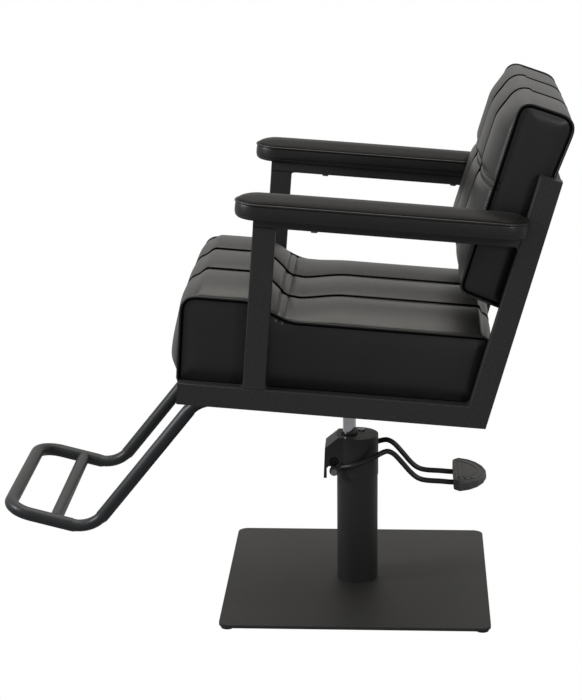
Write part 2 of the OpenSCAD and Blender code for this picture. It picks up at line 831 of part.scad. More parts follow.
module bracket_bolt_places() {
    for (side = [-1, 1], place = [seat_bar_places[1], seat_bar_places[2]])
        translate([side * bracket_bolt_x, place, 0]) children();
}

module seat_bracket() {
    color(frame_black) on_seat() difference() {
        union() {
            translate([-bracket_w / 2, bracket_front, -bracket_t])
                cube([bracket_w, bracket_rear - bracket_front, bracket_t]);
            for (side = [-1, 1]) scale_side(side)
                translate([bracket_w / 2 - bracket_t, bracket_front, -bracket_side_h])
                    cube([bracket_t, bracket_rear - bracket_front, bracket_side_h]);
        }
        bracket_bolt_places() translate([0, 0, -bracket_t - over])
            cylinder(d = bracket_bolt_d, h = bracket_t + 2 * over);
    }
}

module bracket_bolts() {
    color(zinc) on_seat() bracket_bolt_places() {
        translate([0, 0, -bracket_t - hex_h]) hex(hex_across, hex_h);
        translate([0, 0, -bracket_t - hex_h / 2])
            cylinder(d = bracket_bolt_d, h = bracket_t + seat_bar_h + hex_h / 2);
    }
}

// Rectangular tube

module tube_face(w, t, r) {
    union() {
        square([t, w - 2 * r], center = true);
        square([t - 2 * r, w], center = true);
        for (x = [-1, 1], y = [-1, 1]) translate([x * (t / 2 - r), y * (w / 2 - r)]) circle(r = r);
    }
}

// A hollow tube along Z from z = 0, t thick along X and w wide along Y
module rect_tube(w, t, len) {
    linear_extrude(height = len) difference() {
        tube_face(w, t, tube_edge_r);
        tube_face(w - 2 * tube_wall, t - 2 * tube_wall, tube_edge_r - tube_wall);
    }
}

// The same tube, along the seat frame's a direction
module tube_along(w, t, len) {
    rotate([-90, 0, 0]) rect_tube(w, t, len);
}

// The same tube across the chair, w wide along a and t high
module tube_across(w, t, len) {
    rotate([0, 90, 0]) translate([0, 0, -len / 2]) rect_tube(w, t, len);
}

module cross_bar(place) {
    color(frame_black) on_seat() difference() {
        translate([0, place, seat_bar_h / 2]) tube_across(tube_w, seat_bar_h, inner_w);
        bracket_bolt_places() translate([0, 0, -over])
            cylinder(d = bracket_bolt_d, h = seat_bar_h + 2 * over);
        footrest_bolt_places() translate([0, 0, -over])
            cylinder(d = footrest_bolt_d, h = seat_bar_h + 2 * over);
        board_screw_places() translate([0, 0, -over]) cylinder(d = screw_d, h = seat_bar_h + 2 * over);
    }
}

module front_cross_bar() {
    cross_bar(seat_bar_places[0]);
}

module footrest_rear_cross_bar() {
    cross_bar(seat_bar_places[1]);
}

module bracket_rear_cross_bar() {
    cross_bar(seat_bar_places[2]);
}

module rear_cross_bar() {
    cross_bar(seat_bar_places[3]);
}

// Everything on the rear side of the corner joint between a rail and a back upright
module behind_corner(side) {
    run = back_upright_reach - mitre_inner;
    slab_x(frame_w + 2 * tube_t, [[back_upright_reach + run, -tube_w],
        [mitre_inner - run, 2 * tube_w], [mitre_inner - run + side * frame_w, 2 * tube_w],
        [back_upright_reach + run + side * frame_w, -tube_w]]);
}

module seat_rail(side) {
    color(frame_black) on_seat() difference() {
        translate([side * rail_x, cap_t - rail_reach, tube_w / 2])
            tube_along(tube_w, tube_t, rail_reach + back_upright_reach);
        behind_corner(1);
    }
}

module left_seat_rail() {
    seat_rail(1);
}

module right_seat_rail() {
    seat_rail(right);
}

module front_upright(side) {
    color(frame_black) on_seat()
        translate([side * rail_x, tube_w / 2 - front_upright_reach, tube_w])
            rect_tube(tube_w, tube_t, arm_rail_b - tube_w);
}

module left_front_upright() {
    front_upright(1);
}

module right_front_upright() {
    front_upright(right);
}

// Places a shape in the back uprights' own directions: z along them, y from their front face
module on_back() {
    translate([0, back_front_face, 0]) rotate([-back_lean, 0, 0]) children();
}

back_upright_top = back_upright_len + tube_w * tan(back_lean);

module back_upright(side) {
    color(frame_black) on_seat() difference() {
        on_back() translate([side * rail_x, tube_w / 2, 0])
            rect_tube(tube_w, tube_t, back_upright_top - cap_t);
        behind_corner(-1);
    }
}

module left_back_upright() {
    back_upright(1);
}

module right_back_upright() {
    back_upright(right);
}

module arm_rail(side) {
    color(frame_black) on_seat() difference() {
        translate([side * rail_x, cap_t - front_upright_reach, arm_rail_b + arm_rail_h / 2])
            tube_along(arm_rail_h, tube_t, front_upright_reach + back_upright_reach + tube_w);
        on_back() translate([-frame_w, 0, 0]) cube([2 * frame_w, frame_w, back_upright_len + tube_w]);
        arm_bolt_places() translate([0, 0, -over]) cylinder(d = screw_d, h = arm_rail_h + 2 * over);
    }
}

module left_arm_rail() {
    arm_rail(1);
}

module right_arm_rail() {
    arm_rail(right);
}

module back_bar(rise) {
    color(frame_black) on_seat() difference() {
        on_back() translate([0, back_bar_offset(rise) + back_bar_t / 2, rise + tube_w / 2])
            rotate([90, 0, 0]) tube_across(tube_w, back_bar_t, inner_w);
        back_bolt_places() cylinder(d = back_bolt_d, h = 2 * tube_w);
    }
}

top_bar_rise = back_upright_top - tube_w;
back_bar_rises = [low_bar_rise, top_bar_rise];

// Distance of the back cushion's rear face behind the uprights' front face, at a height along them
function back_face_offset(rise) =
    let(foot = back_point(back_corners[1]) - [back_front_face, 0],
        top = back_point(back_corners[2]) - [back_front_face, 0],
        along = [sin(back_lean), cos(back_lean)], out = [cos(back_lean), -sin(back_lean)],
        share = (rise - foot * along) / ((top - foot) * along))
    foot * out + share * ((top - foot) * out);

// A bar stands as close behind the cushion as its top edge allows
function back_bar_offset(rise) = back_face_offset(rise + tube_w) + pad_gap;

module top_back_bar() {
    back_bar(top_bar_rise);
}

module low_back_bar() {
    back_bar(low_bar_rise);
}

module frame_end_caps() {
    color(frame_black) on_seat() for (side = [-1, 1]) {
        translate([side * rail_x, -rail_reach, tube_w / 2]) end_cap(tube_w);
        translate([side * rail_x, -front_upright_reach, arm_rail_b + arm_rail_h / 2])
            end_cap(arm_rail_h);
        on_back() translate([side * rail_x, tube_w / 2, back_upright_top - cap_t])
            linear_extrude(height = cap_t) tube_face(tube_w, tube_t, tube_edge_r);
    }
}

module end_cap(w) {
    rotate([-90, 0, 0]) linear_extrude(height = cap_t) tube_face(w, tube_t, tube_edge_r);
}

// Seat board and its screws

seat_board_w = inner_w - 2 * seat_board_gap;
seat_board_front = seat_front_reach - seat_board_edge;
seat_board_rear = seat_rear_reach - seat_board_edge - seat_rear_slant;

module board_screw_places() {
    for (side = [-1, 1], place = [seat_bar_places[0], seat_bar_places[3]])
        translate([side * seat_board_w / 4, place, 0]) children();
}

module seat_board() {
    color(plywood) on_seat() difference() {
        translate([-seat_board_w / 2, -seat_board_front, seat_bar_h])
            cube([seat_board_w, seat_board_front + seat_board_rear, seat_board_t]);
        board_screw_places() translate([0, 0, seat_bar_h - over])
            cylinder(d = screw_d, h = seat_board_t / 2 + over);
    }
}

module seat_board_screws() {
    color(zinc) on_seat() board_screw_places() {
        translate([0, 0, -screw_head_h]) cylinder(d = screw_head_d, h = screw_head_h);
        cylinder(d = screw_d, h = seat_bar_h + seat_board_t / 2);
    }
}

// Cushions: a loop of (a, b) points is the cushion's side outline at its piping, and the skin
// stands proud of it by a crown that puffs between the seams

function smooth(t) = t <= 0 ? 0 : t >= 1 ? 1 : t * t * (3 - 2 * t);

// Even points from p to q, without the last
function run(p, q, n) = [for (i = [0:n - 1]) p + (q - p) * i / n];

// Points of a rounded corner between two edges that meet at c, with tangent length r
function corner(before, c, after, r, n) =
    let(p = c + r * unit(before - c), q = c + r * unit(after - c))
    [for (i = [0:n - 1]) let(t = i / (n - 1)) (1 - t) * (1 - t) * p + 2 * t * (1 - t) * c + t * t * q];

function seat_top(a) = seat_top_b + (roll_top_b - seat_top_b)
    * smooth((-seat_flat_reach - a) / (roll_end_reach - seat_flat_reach));

seat_f = -seat_front_reach;
seat_r = seat_rear_reach;
seat_top_steps = 20;
seat_loop = concat(
    run([seat_f, seat_base_b], [seat_r - seat_rear_slant, seat_base_b], 5),
    run([seat_r - seat_rear_slant, seat_base_b], [seat_r, seat_top_b - seat_rear_r], 3),
    corner([seat_r - seat_rear_slant, seat_base_b], [seat_r, seat_top_b], [seat_f, seat_top_b],
        seat_rear_r, 4),
    [for (i = [1:seat_top_steps - 1])
        let(a = seat_r - seat_rear_r
            + (seat_f + seat_front_r - seat_r + seat_rear_r) * i / seat_top_steps) [a, seat_top(a)]],
    corner([seat_r, roll_top_b], [seat_f, roll_top_b], [seat_f, seat_base_b], seat_front_r, 6),
    run([seat_f, roll_top_b - seat_front_r], [seat_f, seat_base_b], 5));

// Outward direction at point j of a loop that runs anticlockwise
function outward(loop, j) =
    let(n = len(loop), t = unit(loop[(j + 1) % n] - loop[(j + n - 1) % n])) [t[1], -t[0]];

// Share of the full crown round the seat: none under it, full on top, and in front a belly that
// is fullest low down
function seat_weight(p) =
    let(rise = p[1] - seat_base_b, quarter = seat_front_h / 4, run = p[0] - seat_f - seat_front_r / 2)
    p[0] > seat_r - seat_rear_r ? edge_share * smooth(rise / seat_front_h)
    : run < 0 ? smooth(rise / quarter) * (1 - (1 - edge_share) * smooth((rise - quarter) / seat_front_h))
    : rise > 0 ? edge_share + (1 - edge_share) * smooth(run / seat_front_r) : 0;

// Share of the seams' crown along the seat: the seams lie low about the cross seam
function seam_share(a) = a > -seam_reach ? smooth((a + seam_low_reach) / seam_low_run)
    : smooth(-(a + seam_reach) / (3 * seam_half_w));

function seam_dip(place, seam, half_w) =
    abs(place - seam) > half_w ? 0 : 0.5 + 0.5 * cos(180 * (place - seam) / half_w);

// Crown at x across a cushion: a shallow arch, with a puff on each panel between the seams
function arch(x, half_w) = 1 - pow(abs(x) / half_w, 4);
function puff(x, half_w) =
    let(t = (x + half_w) * panels / (2 * half_w)) sqrt(abs(sin(180 * t)));

function panel_places(half_w) = concat(
    [for (p = [0:panels - 1], s = panel_shares) (p + s) * 2 * half_w / panels - half_w], [half_w]);

// One ring of a cushion's skin at x, and the inner ring of its side panel
function cushion_ring(loop, x, lifts) =
    [for (j = [0:len(loop) - 1]) let(p = loop[j] + lifts[j] * outward(loop, j)) [x, p[0], p[1]]];

function side_ring(loop, x) =
    let(c = mean(loop)) [for (p = loop) let(q = c + cap_share * (p - c)) [x, q[0], q[1]]];

function seat_lifts(x) =
    [for (p = seat_loop) seat_weight(p) * (seam_crown * seam_share(p[0]) * arch(x, cushion_half_w)
        + (panel_puff - cross_seam_depth * seam_dip(p[0], -seam_reach, seam_half_w))
            * puff(x, cushion_half_w))];

function cushion_rings(loop, lift_rows, places, half_w) = concat(
    [side_ring(loop, -half_w - side_bulge)],
    [for (i = [0:len(places) - 1]) cushion_ring(loop, places[i], lift_rows[i])],
    [side_ring(loop, half_w + side_bulge)]);

module seat_cushion() {
    places = panel_places(cushion_half_w);
    color(leather_black) on_seat()
        skin(cushion_rings(seat_loop, [for (x = places) seat_lifts(x)], places, cushion_half_w));
}

// Back cushion, written first in its own directions: t from its front face, h up that face
function back_point(p) = [
    back_pad_reach + p[0] * cos(back_pad_lean) + p[1] * sin(back_pad_lean),
    back_pad_b - p[0] * sin(back_pad_lean) + p[1] * cos(back_pad_lean)];

back_corners = [[0, 0], [back_pad_foot_t, -back_pad_foot_drop],
    [back_pad_top_t, back_pad_h - back_pad_foot_drop / 2], [0, back_pad_h]];
back_rear_steps = 14;
back_front_steps = 15;
back_flat = concat(
    corner(back_corners[3], back_corners[0], back_corners[1], back_pad_foot_r, 5),
    run((back_corners[0] + back_corners[1]) / 2, back_corners[1], 2),
    run(back_corners[1], back_corners[2]
        + back_pad_top_r * unit(back_corners[1] - back_corners[2]), back_rear_steps),
    corner(back_corners[1], back_corners[2], back_corners[3], back_pad_top_r, 5),
    run(back_corners[2] + (back_pad_top_r + over) * unit(back_corners[3] - back_corners[2]),
        back_corners[3] + back_pad_front_r * unit(back_corners[2] - back_corners[3]), 3),
    corner(back_corners[2], back_corners[3], back_corners[0], back_pad_front_r, 5),
    [for (i = [1:back_front_steps - 1])
        [0, back_pad_h - back_pad_front_r
            + (back_pad_foot_r + back_pad_front_r - back_pad_h) * i / back_front_steps]]);
back_loop = [for (p = back_flat) back_point(p)];

// Share of the full crown round the back: full in front, less over the top, none at the bars, and
// a little above the bars
function back_weight(p) =
    p[0] > back_pad_foot_t - over && p[1] < back_rear_swell_h ? 0
    : p[0] > back_pad_top_t - back_pad_top_r
        ? back_rear_share * smooth((p[1] - back_rear_swell_h) / back_pad_top_r)
    : p[0] > back_pad_front_r ? (p[1] > back_pad_h / 2 ? back_top_share : back_foot_share)
    : min(back_foot_share + (1 - back_foot_share) * smooth((p[1] - back_pad_foot_r / 2) / back_swell_h),
        back_brow_share + (1 - back_brow_share) * smooth((back_pad_h - p[1]) / back_swell_h));

function back_dip(p) = p[0] < over ? seam_dip(p[1], back_seam_rise, back_seam_half_w) : 0;

function back_lifts(x) =
    [for (p = back_flat) back_weight(p) * (back_crown * arch(x, cushion_half_w)
        + (panel_puff - cross_seam_depth * back_dip(p)) * puff(x, cushion_half_w))];

// The chair's outer box reaches from the footrest's front tube to the back cushion's rear, and
// the column stands behind its middle
function level_y(p) = p[0] * cos(seat_tilt) + p[1] * sin(seat_tilt);
box_front_y = level_y([footrest_tip_a, footrest_tip_b]) - footrest_d / 2;
box_rear_y = max([for (x = panel_places(cushion_half_w)) let(lifts = back_lifts(x))
    for (j = [0:len(back_loop) - 1]) level_y(back_loop[j] + lifts[j] * outward(back_loop, j))]);
column_y = -(box_front_y + box_rear_y) / 2;

// Places a shape in the rear face's directions: z outwards from the face, y up along it
module on_back_rear() {
    foot = back_point(back_corners[1]);
    rise = back_point(back_corners[2]) - foot;
    lean = atan(rise[0] / rise[1]);
    translate([0, foot[0], foot[1]]) rotate([-lean, 0, 0]) rotate([90, 0, 0]) mirror([0, 0, 1])
        children();
}

back_board_h = back_pad_h - board_foot - board_side;
back_board_w = inner_w - 2 * board_side;

// Places along +Z from the inside of the board out through a bar, square to the back uprights
module back_bolt_places() {
    for (side = [-1, 1], rise = back_bar_rises)
        on_back() translate([side * back_board_w * back_bolt_spacing_share / 2,
            back_bar_offset(rise) - board_cover - board_t / 2, rise + tube_w / 2])
                rotate([-90, 0, 0]) children();
}

module board_block(gap) {
    on_back_rear() translate([-back_board_w / 2 - gap, board_foot - gap, -board_cover - board_t - gap])
        cube([back_board_w + 2 * gap, back_board_h + 2 * gap, board_t + 2 * gap]);
}

module back_board() {
    color(plywood) on_seat() difference() {
        board_block(0);
        back_bolt_places() cylinder(d = back_bolt_d, h = board_cover + board_t);
    }
}

module back_bolts() {
    reach = board_cover + board_t / 2 + back_bar_t;
    color(zinc) on_seat() back_bolt_places() {
        cylinder(d = back_bolt_d, h = reach + hex_h / 2);
        translate([0, 0, reach]) hex(hex_across, hex_h);
    }
}

module back_cushion() {
    places = panel_places(cushion_half_w);
    color(leather_black) on_seat() difference() {
        skin(cushion_rings(back_loop, [for (x = places) back_lifts(x)], places, cushion_half_w));
        board_block(board_gap);
        back_bolt_places() cylinder(d = back_bolt_d + 2 * rod_gap, h = 2 * tube_w);
    }
}

// Arm pads

// Outline of a pad with round ends, w wide and len long, from its front tip round
function stadium(w, len, steps) = concat(
    [for (i = [0:steps - 1]) let(t = 180 + 180 * i / (steps - 1))
        [w / 2 * cos(t), -len / 2 + w / 2 + w / 2 * sin(t)]],
    [for (i = [0:steps - 1]) let(t = 180 * i / (steps - 1))
        [w / 2 * cos(t), len / 2 - w / 2 + w / 2 * sin(t)]]);

function flat_ring(w, len, steps, z) = [for (p = stadium(w, len, steps)) [p[0], p[1], z]];

arm_pad_mid = arm_pad_reach - arm_pad_len / 2;
arm_foot_inset = 3;
arm_foot_rise_share = 0.2;
arm_top_shares = [[1, 0], [0.86, 0.45], [0.62, 0.78], [0.32, 0.96]];

module arm_bolt_places() {
    for (side = [-1, 1], place = [-arm_bolt_reach, arm_bolt_rear])
        translate([side * rail_x, place, arm_rail_b]) children();
}

module arm_board(side) {
    color(plywood) on_seat() difference() {
        translate([side * arm_pad_x, arm_pad_mid, arm_top_b])
            stadium_slab(arm_pad_w - 2 * arm_board_margin, arm_pad_len - 4 * arm_board_margin, arm_board_t);
        arm_bolt_places() translate([0, 0, arm_rail_h - over])
            cylinder(d = screw_d, h = arm_board_t / 2 + over);
    }
}

module stadium_slab(w, len, h) {
    translate([-w / 2, w / 2 - len / 2, 0]) cube([w, len - w, h]);
    for (end = [-1, 1]) translate([0, end * (len - w) / 2, 0]) cylinder(d = w, h = h);
}

module left_arm_board() {
    arm_board(1);
}

module right_arm_board() {
    arm_board(right);
}

module arm_bolts() {
    color(zinc) on_seat() arm_bolt_places() {
        translate([0, 0, -screw_head_h]) cylinder(d = screw_head_d, h = screw_head_h);
        cylinder(d = screw_d, h = arm_rail_h + arm_board_t / 2);
    }
}

// The room that the back cushion takes between the arm pads
module back_pad_room() {
    half = cushion_half_w + side_bulge + pad_gap;
    foot = back_point(back_corners[0]);
    translate([0, foot[0], foot[1]]) rotate([-back_pad_lean, 0, 0])
        translate([-half, -arm_relief, 0]) cube([2 * half, frame_w, back_pad_h]);
}

// The pad's rear tip passes the outer face of the back upright, and is cut back round it. Its
// inner edge is drawn in beside the back cushion
module arm_pad(side) {
    w = arm_pad_w;
    l = arm_pad_len;
    low = 2 * arm_foot_inset;
    rings = concat(
        [flat_ring(w - low, l - low, arm_steps, 0),
            flat_ring(w, l, arm_steps, arm_pad_side_h * arm_foot_rise_share)],
        [for (s = arm_top_shares) flat_ring(w * s[0], l - w + w * s[0], arm_steps,
            arm_pad_side_h + arm_pad_crown * s[1])]);
    color(leather_black) on_seat() difference() {
        translate([side * arm_pad_x, arm_pad_mid, arm_top_b]) skin(rings);
        translate([side * arm_pad_x, arm_pad_mid, arm_top_b - over])
            stadium_slab(w - 2 * arm_board_margin, l - 4 * arm_board_margin, arm_board_t + over);
        on_back() translate([side * rail_x - tube_t / 2 - notch_gap, -notch_gap, arm_rail_b])
            cube([tube_t + 2 * notch_gap, 2 * tube_w, 2 * tube_w]);
        back_pad_room();
    }
}

module left_arm_pad() {
    arm_pad(1);
}

module right_arm_pad() {
    arm_pad(right);
}

// Footrest: one bent tube, swept along its own course

// Points of a bend of radius r at the corner v, on the way from a to b
function bend_points(a, v, b, r, steps) =
    let(u = unit(a - v), w = unit(b - v), half = acos(u * w) / 2, c = v + unit(u + w) * r / sin(half),
        e = unit(v + u * r / tan(half) - c), f = unit(v + w * r / tan(half) - c),
        g = unit(f - (f * e) * e), turn = 180 - 2 * half)
    [for (i = [0:steps]) c + r * (cos(turn * i / steps) * e + sin(turn * i / steps) * g)];

footrest_side = [[-footrest_end_reach, -footrest_drop], [-footrest_bend_reach, -footrest_drop],
    [footrest_low_a, footrest_low_b], [footrest_tip_a, footrest_tip_b]];

// A corner point of the tube's course: side tells left from right, and i counts from its fixed end
function footrest_point(side, i) =
    [side * footrest_w / 2, footrest_side[i][0], footrest_side[i][1]];

function footrest_bends(side) = [
    bend_points(footrest_point(side, 0), footrest_point(side, 1), footrest_point(side, 2),
        footrest_bend_r, footrest_bend_steps),
    bend_points(footrest_point(side, 1), footrest_point(side, 2), footrest_point(side, 3),
        footrest_bend_r, footrest_bend_steps),
    bend_points(footrest_point(side, 2), footrest_point(side, 3), footrest_point(-side, 3),
        footrest_corner_r, footrest_bend_steps)];

function half_course(side) = concat([footrest_point(side, 0)], [for (b = footrest_bends(side)) each b]);

function reversed(v) = [for (i = [len(v) - 1:-1:0]) v[i]];

footrest_course = concat(half_course(1), reversed(half_course(right)));
loop_normal = [0, sin(footrest_loop_angle), cos(footrest_loop_angle)];

// The same course, longer by the overrun at both ends
function overrun(path) =
    let(n = len(path), a = path[0] + over * unit(path[0] - path[1]),
        b = path[n - 1] + over * unit(path[n - 1] - path[n - 2]))
    [for (i = [0:n - 1]) i == 0 ? a : i == n - 1 ? b : path[i]];

module footrest_tube() {
    color([0.13, 0.13, 0.14]) on_seat() difference() {
        skin(tube_rings(footrest_course, footrest_d / 2, footrest_sides, loop_normal));
        skin(tube_rings(overrun(footrest_course), footrest_inner_r, footrest_sides, loop_normal));
        footrest_bolt_places() {
            translate([0, 0, -footrest_drop]) cylinder(d = footrest_bolt_d, h = footrest_drop + over);
            translate([0, 0, -footrest_d - over])
                cylinder(d = cap_head_d + 2 * over, h = footrest_drop + over);
        }
    }
}

module footrest_bolt_places() {
    for (side = [-1, 1], place = [seat_bar_places[0], seat_bar_places[1]])
        translate([side * footrest_w / 2, place, 0]) children();
}

module footrest_cross_bar() {
    place = footrest_loop * cross_bar_share;
    wall = footrest_wall;
    color([0.13, 0.13, 0.14]) on_seat() difference() {
        translate([0, footrest_low_a - place * cos(footrest_loop_angle),
            footrest_low_b + place * sin(footrest_loop_angle)]) difference() {
                bar_x(cross_bar_d, footrest_w);
                bar_x(cross_bar_d - 2 * wall, footrest_w + over);
            }
        for (side = [-1, 1]) translate([side * footrest_w / 2, footrest_low_a, footrest_low_b])
            rotate([90 - footrest_loop_angle, 0, 0]) cylinder(d = footrest_d, h = footrest_loop);
    }
}

// The bolts' heads bear on the inside of the tube's upper wall, over access holes in its lower wall
footrest_head_z = sqrt(pow(footrest_inner_r, 2) - pow(cap_head_d / 2, 2)) - footrest_drop - run_gap;

module footrest_bolts() {
    color(zinc) on_seat() footrest_bolt_places() {
        translate([0, 0, footrest_head_z - cap_head_h]) cylinder(d = cap_head_d, h = cap_head_h);
        translate([0, 0, footrest_head_z - cap_head_h / 2])
            cylinder(d = footrest_bolt_d, h = seat_bar_h - footrest_head_z + cap_head_h / 2);
    }
}

floor_plate();
floor_feet();
column_tube();
column_foot_disc();
column_bolts();
pump_cylinder();
pump_head();
head_cover();
guide_bush();
wiper_seal();
oil_filler_plug();
lever_pivot_pin();
plunger_spring();
pump_plunger();
piston_head();
piston_seal();
ram();
lever_rocker();
lever_cross_shaft();
lever_nuts();
left_lever_rod();
right_lever_rod();
pedal();
ram_socket();
seat_bracket();
bracket_bolts();
front_cross_bar();
footrest_rear_cross_bar();
bracket_rear_cross_bar();
rear_cross_bar();
left_seat_rail();
right_seat_rail();
left_front_upright();
right_front_upright();
left_arm_rail();
right_arm_rail();
left_back_upright();
right_back_upright();
top_back_bar();
low_back_bar();
frame_end_caps();
seat_board();
seat_board_screws();
seat_cushion();
back_board();
back_bolts();
back_cushion();
left_arm_board();
right_arm_board();
arm_bolts();
left_arm_pad();
right_arm_pad();
footrest_tube();
footrest_cross_bar();
footrest_bolts();
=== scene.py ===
# %% [markdown]
# A hairdressing chair: a square floor plate, a pump column with a foot lever, and an upholstered
# seat in a frame of rectangular steel tube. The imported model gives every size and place. It is
# loaded first and never moved, and each new piece is made around it, in metres.
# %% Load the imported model
import json
import math

import bpy
import numpy as np
from mathutils import Matrix, Vector
from mathutils.bvhtree import BVHTree
from numpy.linalg import norm


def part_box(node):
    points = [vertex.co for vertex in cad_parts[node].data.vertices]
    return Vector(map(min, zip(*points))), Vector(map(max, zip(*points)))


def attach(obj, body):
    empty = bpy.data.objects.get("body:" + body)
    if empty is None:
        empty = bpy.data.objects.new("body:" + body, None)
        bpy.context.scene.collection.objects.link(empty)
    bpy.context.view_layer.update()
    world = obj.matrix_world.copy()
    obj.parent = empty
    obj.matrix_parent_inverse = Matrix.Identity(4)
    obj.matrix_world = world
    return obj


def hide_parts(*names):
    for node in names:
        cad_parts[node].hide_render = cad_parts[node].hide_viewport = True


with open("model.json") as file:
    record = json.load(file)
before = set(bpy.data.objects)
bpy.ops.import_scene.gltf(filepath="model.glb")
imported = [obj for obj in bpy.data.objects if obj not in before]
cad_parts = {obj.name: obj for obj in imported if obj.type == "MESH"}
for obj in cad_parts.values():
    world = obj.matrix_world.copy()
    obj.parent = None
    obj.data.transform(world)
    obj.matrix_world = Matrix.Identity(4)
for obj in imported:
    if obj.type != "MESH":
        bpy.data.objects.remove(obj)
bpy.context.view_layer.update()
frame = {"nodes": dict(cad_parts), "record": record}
MM = 0.001

# %% [markdown]
# The photograph was taken from the sitter's left side with a long lens. The camera's place, its
# three angles and its focal length were fitted to the straight edges of the plate, the column
# and the frame, so that the render can be laid over the picture.
# %% Camera
CAMERA_PLACE = Vector((3.7611, 0.2271, 1.5472))
CAMERA_YAW, CAMERA_PITCH, CAMERA_ROLL = (math.radians(a) for a in (-3.265, 16.034, -0.570))
PHOTO_HEIGHT_PX = 700
FOCAL_PX = 2076.87
SENSOR = 36.0


def add_camera():
    """The photograph's camera, looking along -X and down."""
    cos_p = math.cos(CAMERA_PITCH)
    ahead = Vector((-math.cos(CAMERA_YAW) * cos_p, math.sin(CAMERA_YAW) * cos_p,
                    -math.sin(CAMERA_PITCH)))
    right = ahead.cross(Vector((0, 0, 1))).normalized()
    up = right.cross(ahead)
    cos_r, sin_r = math.cos(CAMERA_ROLL), math.sin(CAMERA_ROLL)
    right, up = cos_r * right + sin_r * up, cos_r * up - sin_r * right
    bpy.ops.object.camera_add()
    camera = bpy.context.object
    camera.name = "photo_camera"
    camera.matrix_world = Matrix.Translation(CAMERA_PLACE) @ Matrix(
        (right, up, -ahead)).transposed().to_4x4()
    camera.data.sensor_fit = "VERTICAL"
    camera.data.sensor_height = SENSOR
    camera.data.lens = SENSOR * FOCAL_PX / PHOTO_HEIGHT_PX
    bpy.context.scene.camera = camera
    print("lens", round(camera.data.lens, 1), "mm")


add_camera()

# %% [markdown]
# A finish is a small network of shader nodes. Written node by node it is long and hard to read,
# so a small class wraps a node's output and lets Python's own operators add the Math nodes: a
# mask can then be written as `1 - grain * 0.5`. Everything that isn't maths comes from one
# method, which sets a node's settings first and then fills its sockets.
# %% Shader maths
class Wire:
    """An output of a node: sums and products of wires and numbers add Math nodes."""

    def __init__(self, finish, socket):
        self.finish, self.socket = finish, socket

    def maths(self, operation, *values):
        return self.finish.node("ShaderNodeMath", {"operation": operation}, dict(enumerate(values)))

    def __add__(self, other):
        return self.maths("ADD", self, other)

    def __sub__(self, other):
        return self.maths("SUBTRACT", self, other)

    def __rsub__(self, other):
        return self.maths("SUBTRACT", other, self)

    def __mul__(self, other):
        return self.maths("MULTIPLY", self, other)

    __radd__ = __add__
    __rmul__ = __mul__

    def clipped(self):
        return self.maths("MINIMUM", self.maths("MAXIMUM", self, 0.0), 1.0)


class Finish:
    """A procedural material that is filled from Python."""

    def __init__(self, name, **constants):
        self.material = bpy.data.materials.new(name)
        self.material.use_nodes = True
        self.tree = self.material.node_tree
        self.shader = self.tree.nodes["Principled BSDF"]
        for socket, value in constants.items():
            self.shader.inputs[socket.replace("_", " ")].default_value = value

    def node(self, kind, settings=None, values=None, out=0):
        made = self.tree.nodes.new(kind)
        for key, value in (settings or {}).items():
            if key == "stops":
                ramp = made.color_ramp
                while len(ramp.elements) < len(value):
                    ramp.elements.new(0.5)
                for element, (place, shade) in zip(ramp.elements, value):
                    element.position = place
                    element.color = (*shade, 1)
            else:
                setattr(made, key, value)
        for key, value in (values or {}).items():
            self.fill(made.inputs[key], value)
        return Wire(self, made.outputs[out])

    def fill(self, socket, value):
        if isinstance(value, Wire):
            self.tree.links.new(value.socket, socket)
        else:
            socket.default_value = value

    def feed(self, socket, value):
        self.fill(self.shader.inputs[socket], value)

    def place(self):
        """The point on the piece, in metres in the chair's own frame."""
        return self.node("ShaderNodeTexCoord", out="Object")

    def noise(self, per_metre, detail=3.0, rough=0.55):
        return self.node("ShaderNodeTexNoise", None, {
            "Vector": self.place(), "Scale": per_metre, "Detail": detail, "Roughness": rough})

    def cells(self, per_metre, feature="DISTANCE_TO_EDGE"):
        return self.node("ShaderNodeTexVoronoi", {"feature": feature}, {
            "Vector": self.place(), "Scale": per_metre})

    def blend(self, share, first, second):
        """A colour between two colours."""
        mix = self.tree.nodes.new("ShaderNodeMix")
        mix.data_type = "RGBA"
        for key, value in ((0, share), (6, first), (7, second)):
            self.fill(mix.inputs[key], value)
        return Wire(self, mix.outputs[2])

    def relief(self, height, depth, share, over=None):
        """A bump of that depth in metres. Another bump may lie under it."""
        values = {"Height": height, "Distance": depth, "Strength": share}
        if over is not None:
            values["Normal"] = over
        return self.node("ShaderNodeBump", None, values)


def grey(level, warmth=0.0):
    """A grey as a colour, a little warmer or cooler."""
    return (level * (1 + warmth), level, level * (1 - warmth), 1)


# %% [markdown]
# The chair is black all over, so its finishes differ by how they take light and not by colour.
# The leatherette is satin, with a fine grain of small cells, wider creases and a soft sheen. The
# steel tube has a textured powder coat: tiny bumps, and lighter specks painted into its colour as
# glints.
# %% Leatherette
def leatherette(name, low_level, high_level, specular):
    skin = Finish(name, Specular_IOR_Level=specular, Sheen_Weight=0.03, Sheen_Roughness=0.5)
    warp = skin.noise(60, 2)
    grain = skin.cells(620)
    pores = skin.cells(1500, "F1")
    creases = skin.noise(95, 5, 0.62)
    worn = skin.noise(9, 3)
    skin.feed("Base Color", skin.blend(worn, grey(low_level, 0.07), grey(high_level, 0.08)))
    skin.feed("Roughness", 0.28 + worn * 0.12 + warp * 0.06)
    low = skin.relief(creases, 0.5 * MM, 0.35)
    cell = skin.relief((grain * 3.0).clipped(), 0.12 * MM, 0.55, low)
    skin.feed("Normal", skin.relief(pores, 0.05 * MM, 0.25, cell))
    return skin.material


